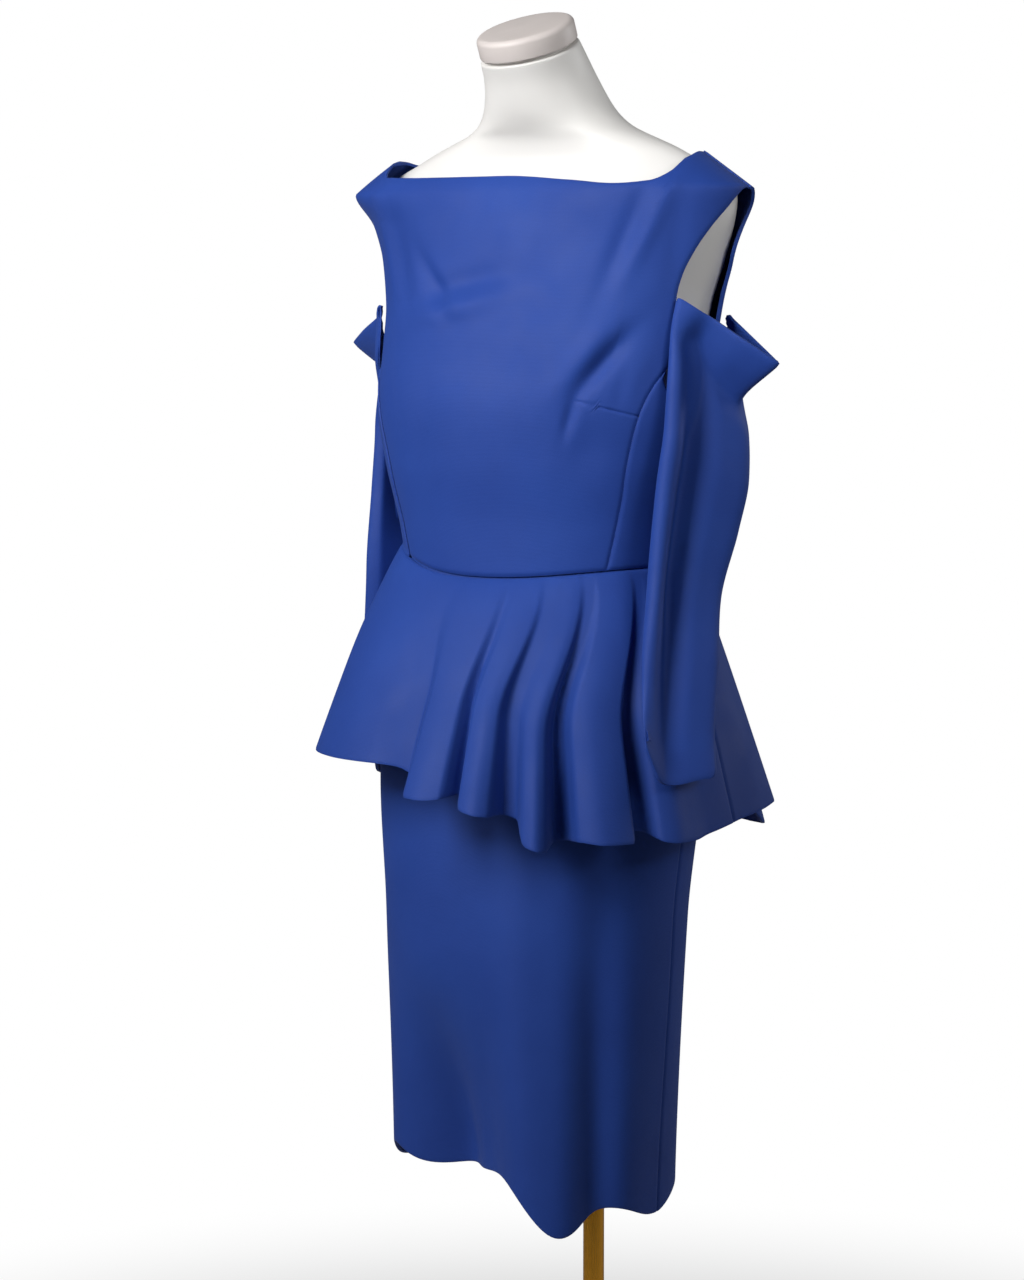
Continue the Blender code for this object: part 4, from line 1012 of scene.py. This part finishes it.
def add_stand(finish):
    """The pole, the socket that holds it and the round base, with softened edges."""
    foot, top = BASE_THICKNESS + RIGID_GAP, FORM_RINGS[0].z - RIGID_GAP
    pole = turned_start("pole", 96, POLE_RADIUS, top - foot, (0, 0, (top + foot) / 2))
    round_faces(pole, lambda face: abs(face.normal.z) > 0.9, CRISP_RIM, 3)
    finish_rigid(pole, finish, "form_pole", 40)
    place = (0, 0, foot + SOCKET_HEIGHT / 2)
    socket = turned_start("pole_socket", 96, SOCKET_RADIUS, SOCKET_HEIGHT, place)
    round_faces(socket, lambda face: face.normal.z > 0.9, BRASS_RIM, 6)
    # The bore: an inset in each end face, drawn in to the pole and bridged
    select_faces(socket, lambda face: abs(face.normal.z) > 0.999)
    bpy.ops.mesh.inset(thickness=0.001, depth=0, use_individual=True)
    bpy.ops.object.mode_set(mode="OBJECT")
    for face in socket.data.polygons:
        if face.select:
            for index in face.vertices:
                place = socket.data.vertices[index].co
                place.xy = place.xy.normalized() * (POLE_RADIUS + RIGID_GAP)
    bpy.ops.object.mode_set(mode="EDIT")
    bpy.ops.mesh.bridge_edge_loops()
    finish_rigid(socket, finish, "form_socket", 40)
    place = (0, 0, BASE_THICKNESS / 2)
    base = turned_start("round_base", 160, BASE_RADIUS, BASE_THICKNESS, place)
    round_faces(base, lambda face: face.normal.z > 0.9, BRASS_RIM, 6)
    round_faces(base, lambda face: face.normal.z < -0.9, FOOT_RIM, 2)
    finish_rigid(base, finish, "form_base", 40)


def set_inputs(tree, node, inputs):
    """Sets each input of a node to a value, or feeds it from another node's output."""
    for socket, value in inputs.items():
        if isinstance(value, bpy.types.NodeSocket):
            tree.links.new(value, node.inputs[socket])
        else:
            node.inputs[socket].default_value = value


def add_node(tree, kind, inputs):
    node = tree.nodes.new(f"ShaderNode{kind}")
    set_inputs(tree, node, inputs)
    return node


def new_finish(name):
    """A material, its node tree, its shader, and what it reads its places from."""
    made = bpy.data.materials.new(name)
    made.use_nodes = True
    tree = made.node_tree
    return made, tree, tree.nodes["Principled BSDF"], tree.nodes.new("ShaderNodeTexCoord")


def mapped(tree, source, output, scale=(1, 1, 1)):
    """The object's own places or its UV map, stretched by the scale."""
    inputs = {"Scale": scale, "Vector": source.outputs[output]}
    return add_node(tree, "Mapping", inputs).outputs["Vector"]


def noise(tree, places, scale, detail=2.0):
    """A noise read at these places, in waves per metre."""
    inputs = {"Scale": scale, "Detail": detail, "Vector": places}
    return add_node(tree, "TexNoise", inputs).outputs["Fac"]


def waves(tree, places, direction, scale, distortion, detail):
    """Parallel bands across the cloth."""
    inputs = {"Scale": scale, "Distortion": distortion, "Detail": detail, "Vector": places}
    node = add_node(tree, "TexWave", inputs)
    node.bands_direction = direction
    return node.outputs["Fac"]


def ramp(tree, value, *stops):
    """Colours at rising values, each stop a value and a colour."""
    node = add_node(tree, "ValToRGB", {"Fac": value})
    band = node.color_ramp
    for stop in range(len(stops) - 2):
        band.elements.new(0.5)
    for element, (place, colour) in zip(band.elements, stops):
        element.position = place
        element.color = (*colour, 1)
    return node.outputs["Color"]


def greys(tree, value, low, high, ends=(0.3, 0.7)):
    """A grey that goes from low to high between two values."""
    return ramp(tree, value, (ends[0], (low,) * 3), (ends[1], (high,) * 3))


def bump(tree, height, distance, strength=1.0, under=None):
    inputs = {"Strength": strength, "Distance": distance, "Height": height}
    if under:
        inputs["Normal"] = under
    return add_node(tree, "Bump", inputs).outputs["Normal"]


def multiplied(tree, first, second):
    """Two colours multiplied."""
    mix = tree.nodes.new("ShaderNodeMix")
    mix.data_type = "RGBA"
    mix.blend_type = "MULTIPLY"
    set_inputs(tree, mix, {"Factor": 1.0, "A": first, "B": second})
    return mix.outputs["Result"]


def jersey_finish():
    """Royal blue double knit: fine wales along the cloth, a soft nap, and slight shade changes."""
    made, tree, shader, source = new_finish("royal_blue_jersey")
    places = mapped(tree, source, "Object")
    cloth = mapped(tree, source, "UV")
    wales = waves(tree, cloth, "X", JERSEY_WALES, 0.6, 1.0)
    courses = waves(tree, cloth, "Y", JERSEY_COURSES, 0.8, 2.0)
    knit = add_node(tree, "Math", {0: wales, 1: courses})
    knit.operation = "MULTIPLY"
    knit = knit.outputs[0]
    shade = ramp(
        tree,
        noise(tree, places, 9.0, 4.0),
        (0.3, (0.0120, 0.048, 0.275)),
        (0.5, (0.0133, 0.052, 0.293)),
        (0.7, (0.0146, 0.057, 0.312)),
    )
    fibres = noise(tree, mapped(tree, source, "UV", (2600, 900, 1)), 1.0)
    shade = multiplied(tree, shade, greys(tree, fibres, 0.86, 1.1))
    shade = multiplied(tree, shade, greys(tree, knit, 0.88, 1.05, (0.0, 0.6)))
    hand = bump(tree, noise(tree, places, 34.0), 0.0007, 0.5)
    naps = noise(tree, mapped(tree, source, "UV", (700, 700, 1)), 1.0)
    nap = bump(tree, naps, 0.00012, 0.5, hand)
    set_inputs(tree, shader, {
        "Base Color": shade,
        "Roughness": greys(tree, noise(tree, places, 26.0, 3.0), 0.60, 0.70),
        "Specular IOR Level": 0.26,
        "Sheen Weight": 0.07,
        "Sheen Roughness": 0.45,
        "Sheen Tint": (0.55, 0.66, 1.0, 1),
        "Normal": bump(tree, knit, 0.00010, 0.7, nap),
    })
    return made


def form_finish():
    """Smooth white lacquer with a faint spray texture and slight handling marks."""
    made, tree, shader, source = new_finish("white_form_lacquer")
    places = mapped(tree, source, "Object")
    marks = noise(tree, places, 6.0, 3.0)
    spray = bump(tree, noise(tree, places, 900.0), 0.00006, 0.5)
    set_inputs(tree, shader, {
        "Base Color": ramp(
            tree, marks, (0.35, (0.715, 0.700, 0.675)), (0.65, (0.745, 0.730, 0.708))
        ),
        "Roughness": greys(tree, noise(tree, places, 30.0, 3.0), 0.46, 0.56),
        "Normal": bump(tree, noise(tree, places, 40.0, 1.0), 0.0004, 0.15, spray),
    })
    return made


def cap_finish():
    """The cap's own paler, slightly pinkish enamel."""
    made, tree, shader, source = new_finish("neck_cap_enamel")
    places = mapped(tree, source, "Object")
    marks = noise(tree, places, 14.0, 3.0)
    set_inputs(tree, shader, {
        "Base Color": ramp(
            tree, marks, (0.35, (0.60, 0.545, 0.52)), (0.65, (0.63, 0.575, 0.55))
        ),
        "Roughness": greys(tree, noise(tree, places, 60.0), 0.40, 0.50),
        "Normal": bump(tree, noise(tree, places, 800.0), 0.00005, 0.4),
    })
    return made


def brass_finish():
    """Lacquered brass, brushed along the pole, darker where it has been handled."""
    made, tree, shader, source = new_finish("lacquered_brass")
    brushed = mapped(tree, source, "Object", (900, 900, 12))
    places = mapped(tree, source, "Object")
    set_inputs(tree, shader, {
        "Base Color": ramp(
            tree,
            noise(tree, places, 12.0, 4.0),
            (0.3, (0.60, 0.26, 0.022)),
            (0.55, (0.83, 0.385, 0.042)),
            (0.75, (0.92, 0.46, 0.070)),
        ),
        "Metallic": 1.0,
        "Roughness": greys(tree, noise(tree, brushed, 1.0), 0.20, 0.34),
        "Normal": bump(tree, noise(tree, brushed, 1.0), 0.00004, 0.5),
    })
    return made


def floor_finish():
    """Pale and matt under the dress, and the room's own white further out."""
    made, tree, shader, source = new_finish("pale_floor")
    set_inputs(tree, shader, {"Base Color": FLOOR_COLOUR, "Roughness": 0.8})
    distance = tree.nodes.new("ShaderNodeVectorMath")
    distance.operation = "LENGTH"
    set_inputs(tree, distance, {0: source.outputs["Object"]})
    near, far = FLOOR_FADES
    inputs = {"From Min": near, "From Max": far, "Value": distance.outputs["Value"]}
    fade = add_node(tree, "MapRange", inputs)
    fade.interpolation_type = "SMOOTHSTEP"
    white = add_node(tree, "Emission", {})
    camera_ray = tree.nodes.new("ShaderNodeLightPath").outputs["Is Camera Ray"]
    seen = add_node(tree, "Math", {0: fade.outputs["Result"], 1: camera_ray})
    seen.operation = "MULTIPLY"
    inputs = {"Fac": seen.outputs[0], 1: shader.outputs[0], 2: white.outputs[0]}
    mix = add_node(tree, "MixShader", inputs)
    set_inputs(tree, tree.nodes["Material Output"], {"Surface": mix.outputs[0]})
    return made


def add_camera():
    bpy.ops.object.camera_add(location=CAMERA_PLACE, rotation=CAMERA_TURN)
    camera = bpy.context.object
    camera.data.lens = CAMERA_LENS
    camera.data.sensor_width = CAMERA_SENSOR
    bpy.context.scene.camera = camera


def add_lamp(lamp):
    bpy.ops.object.light_add(type="AREA", location=lamp.place)
    light = bpy.context.object
    light.name = lamp.name
    light.data.shape = "RECTANGLE"
    light.data.energy = lamp.power
    light.data.size, light.data.size_y = lamp.size
    light.data.spread = math.radians(lamp.spread)
    aim = Vector(lamp.aim) - Vector(lamp.place)
    light.rotation_euler = aim.to_track_quat("-Z", "Y").to_euler()


def add_studio():
    """A plain pale floor that runs out into a white room, and soft lamps."""
    world = bpy.data.worlds.new("white_room")
    world.use_nodes = True
    tree = world.node_tree
    room = tree.nodes["Background"]
    set_inputs(tree, room, {"Color": ROOM_COLOUR, "Strength": ROOM_STRENGTH})
    white = add_node(tree, "Background", {"Color": (1, 1, 1, 1)})
    camera_ray = tree.nodes.new("ShaderNodeLightPath").outputs["Is Camera Ray"]
    inputs = {"Fac": camera_ray, 1: room.outputs[0], 2: white.outputs[0]}
    mix = add_node(tree, "MixShader", inputs)
    set_inputs(tree, tree.nodes["World Output"], {"Surface": mix.outputs[0]})
    bpy.context.scene.world = world
    bpy.context.scene.view_settings.view_transform = "Standard"
    bpy.ops.mesh.primitive_plane_add(size=FLOOR_SIZE)
    floor = bpy.context.object
    floor.name = "studio_floor"
    floor.data.materials.append(floor_finish())
    for lamp in LAMPS:
        add_lamp(lamp)


def main():
    add_camera()
    cloth, skin, cap, brass = jersey_finish(), form_finish(), cap_finish(), brass_finish()
    add_torso(skin)
    add_cap(cap)
    add_stand(brass)
    add_front(cloth)
    for side_name, side in (("left", 1), ("right", -1)):
        add_side(side_name, side, cloth)
        add_back(side_name, side, cloth)
        add_sleeve(side_name, side, cloth)
    for kind in HANGING:
        add_hanging(kind, "front", -90, 90, cloth)
        add_hanging(kind, "back_left", 90, 180, cloth)
        add_hanging(kind, "back_right", -180, -90, cloth)
    add_studio()


main()
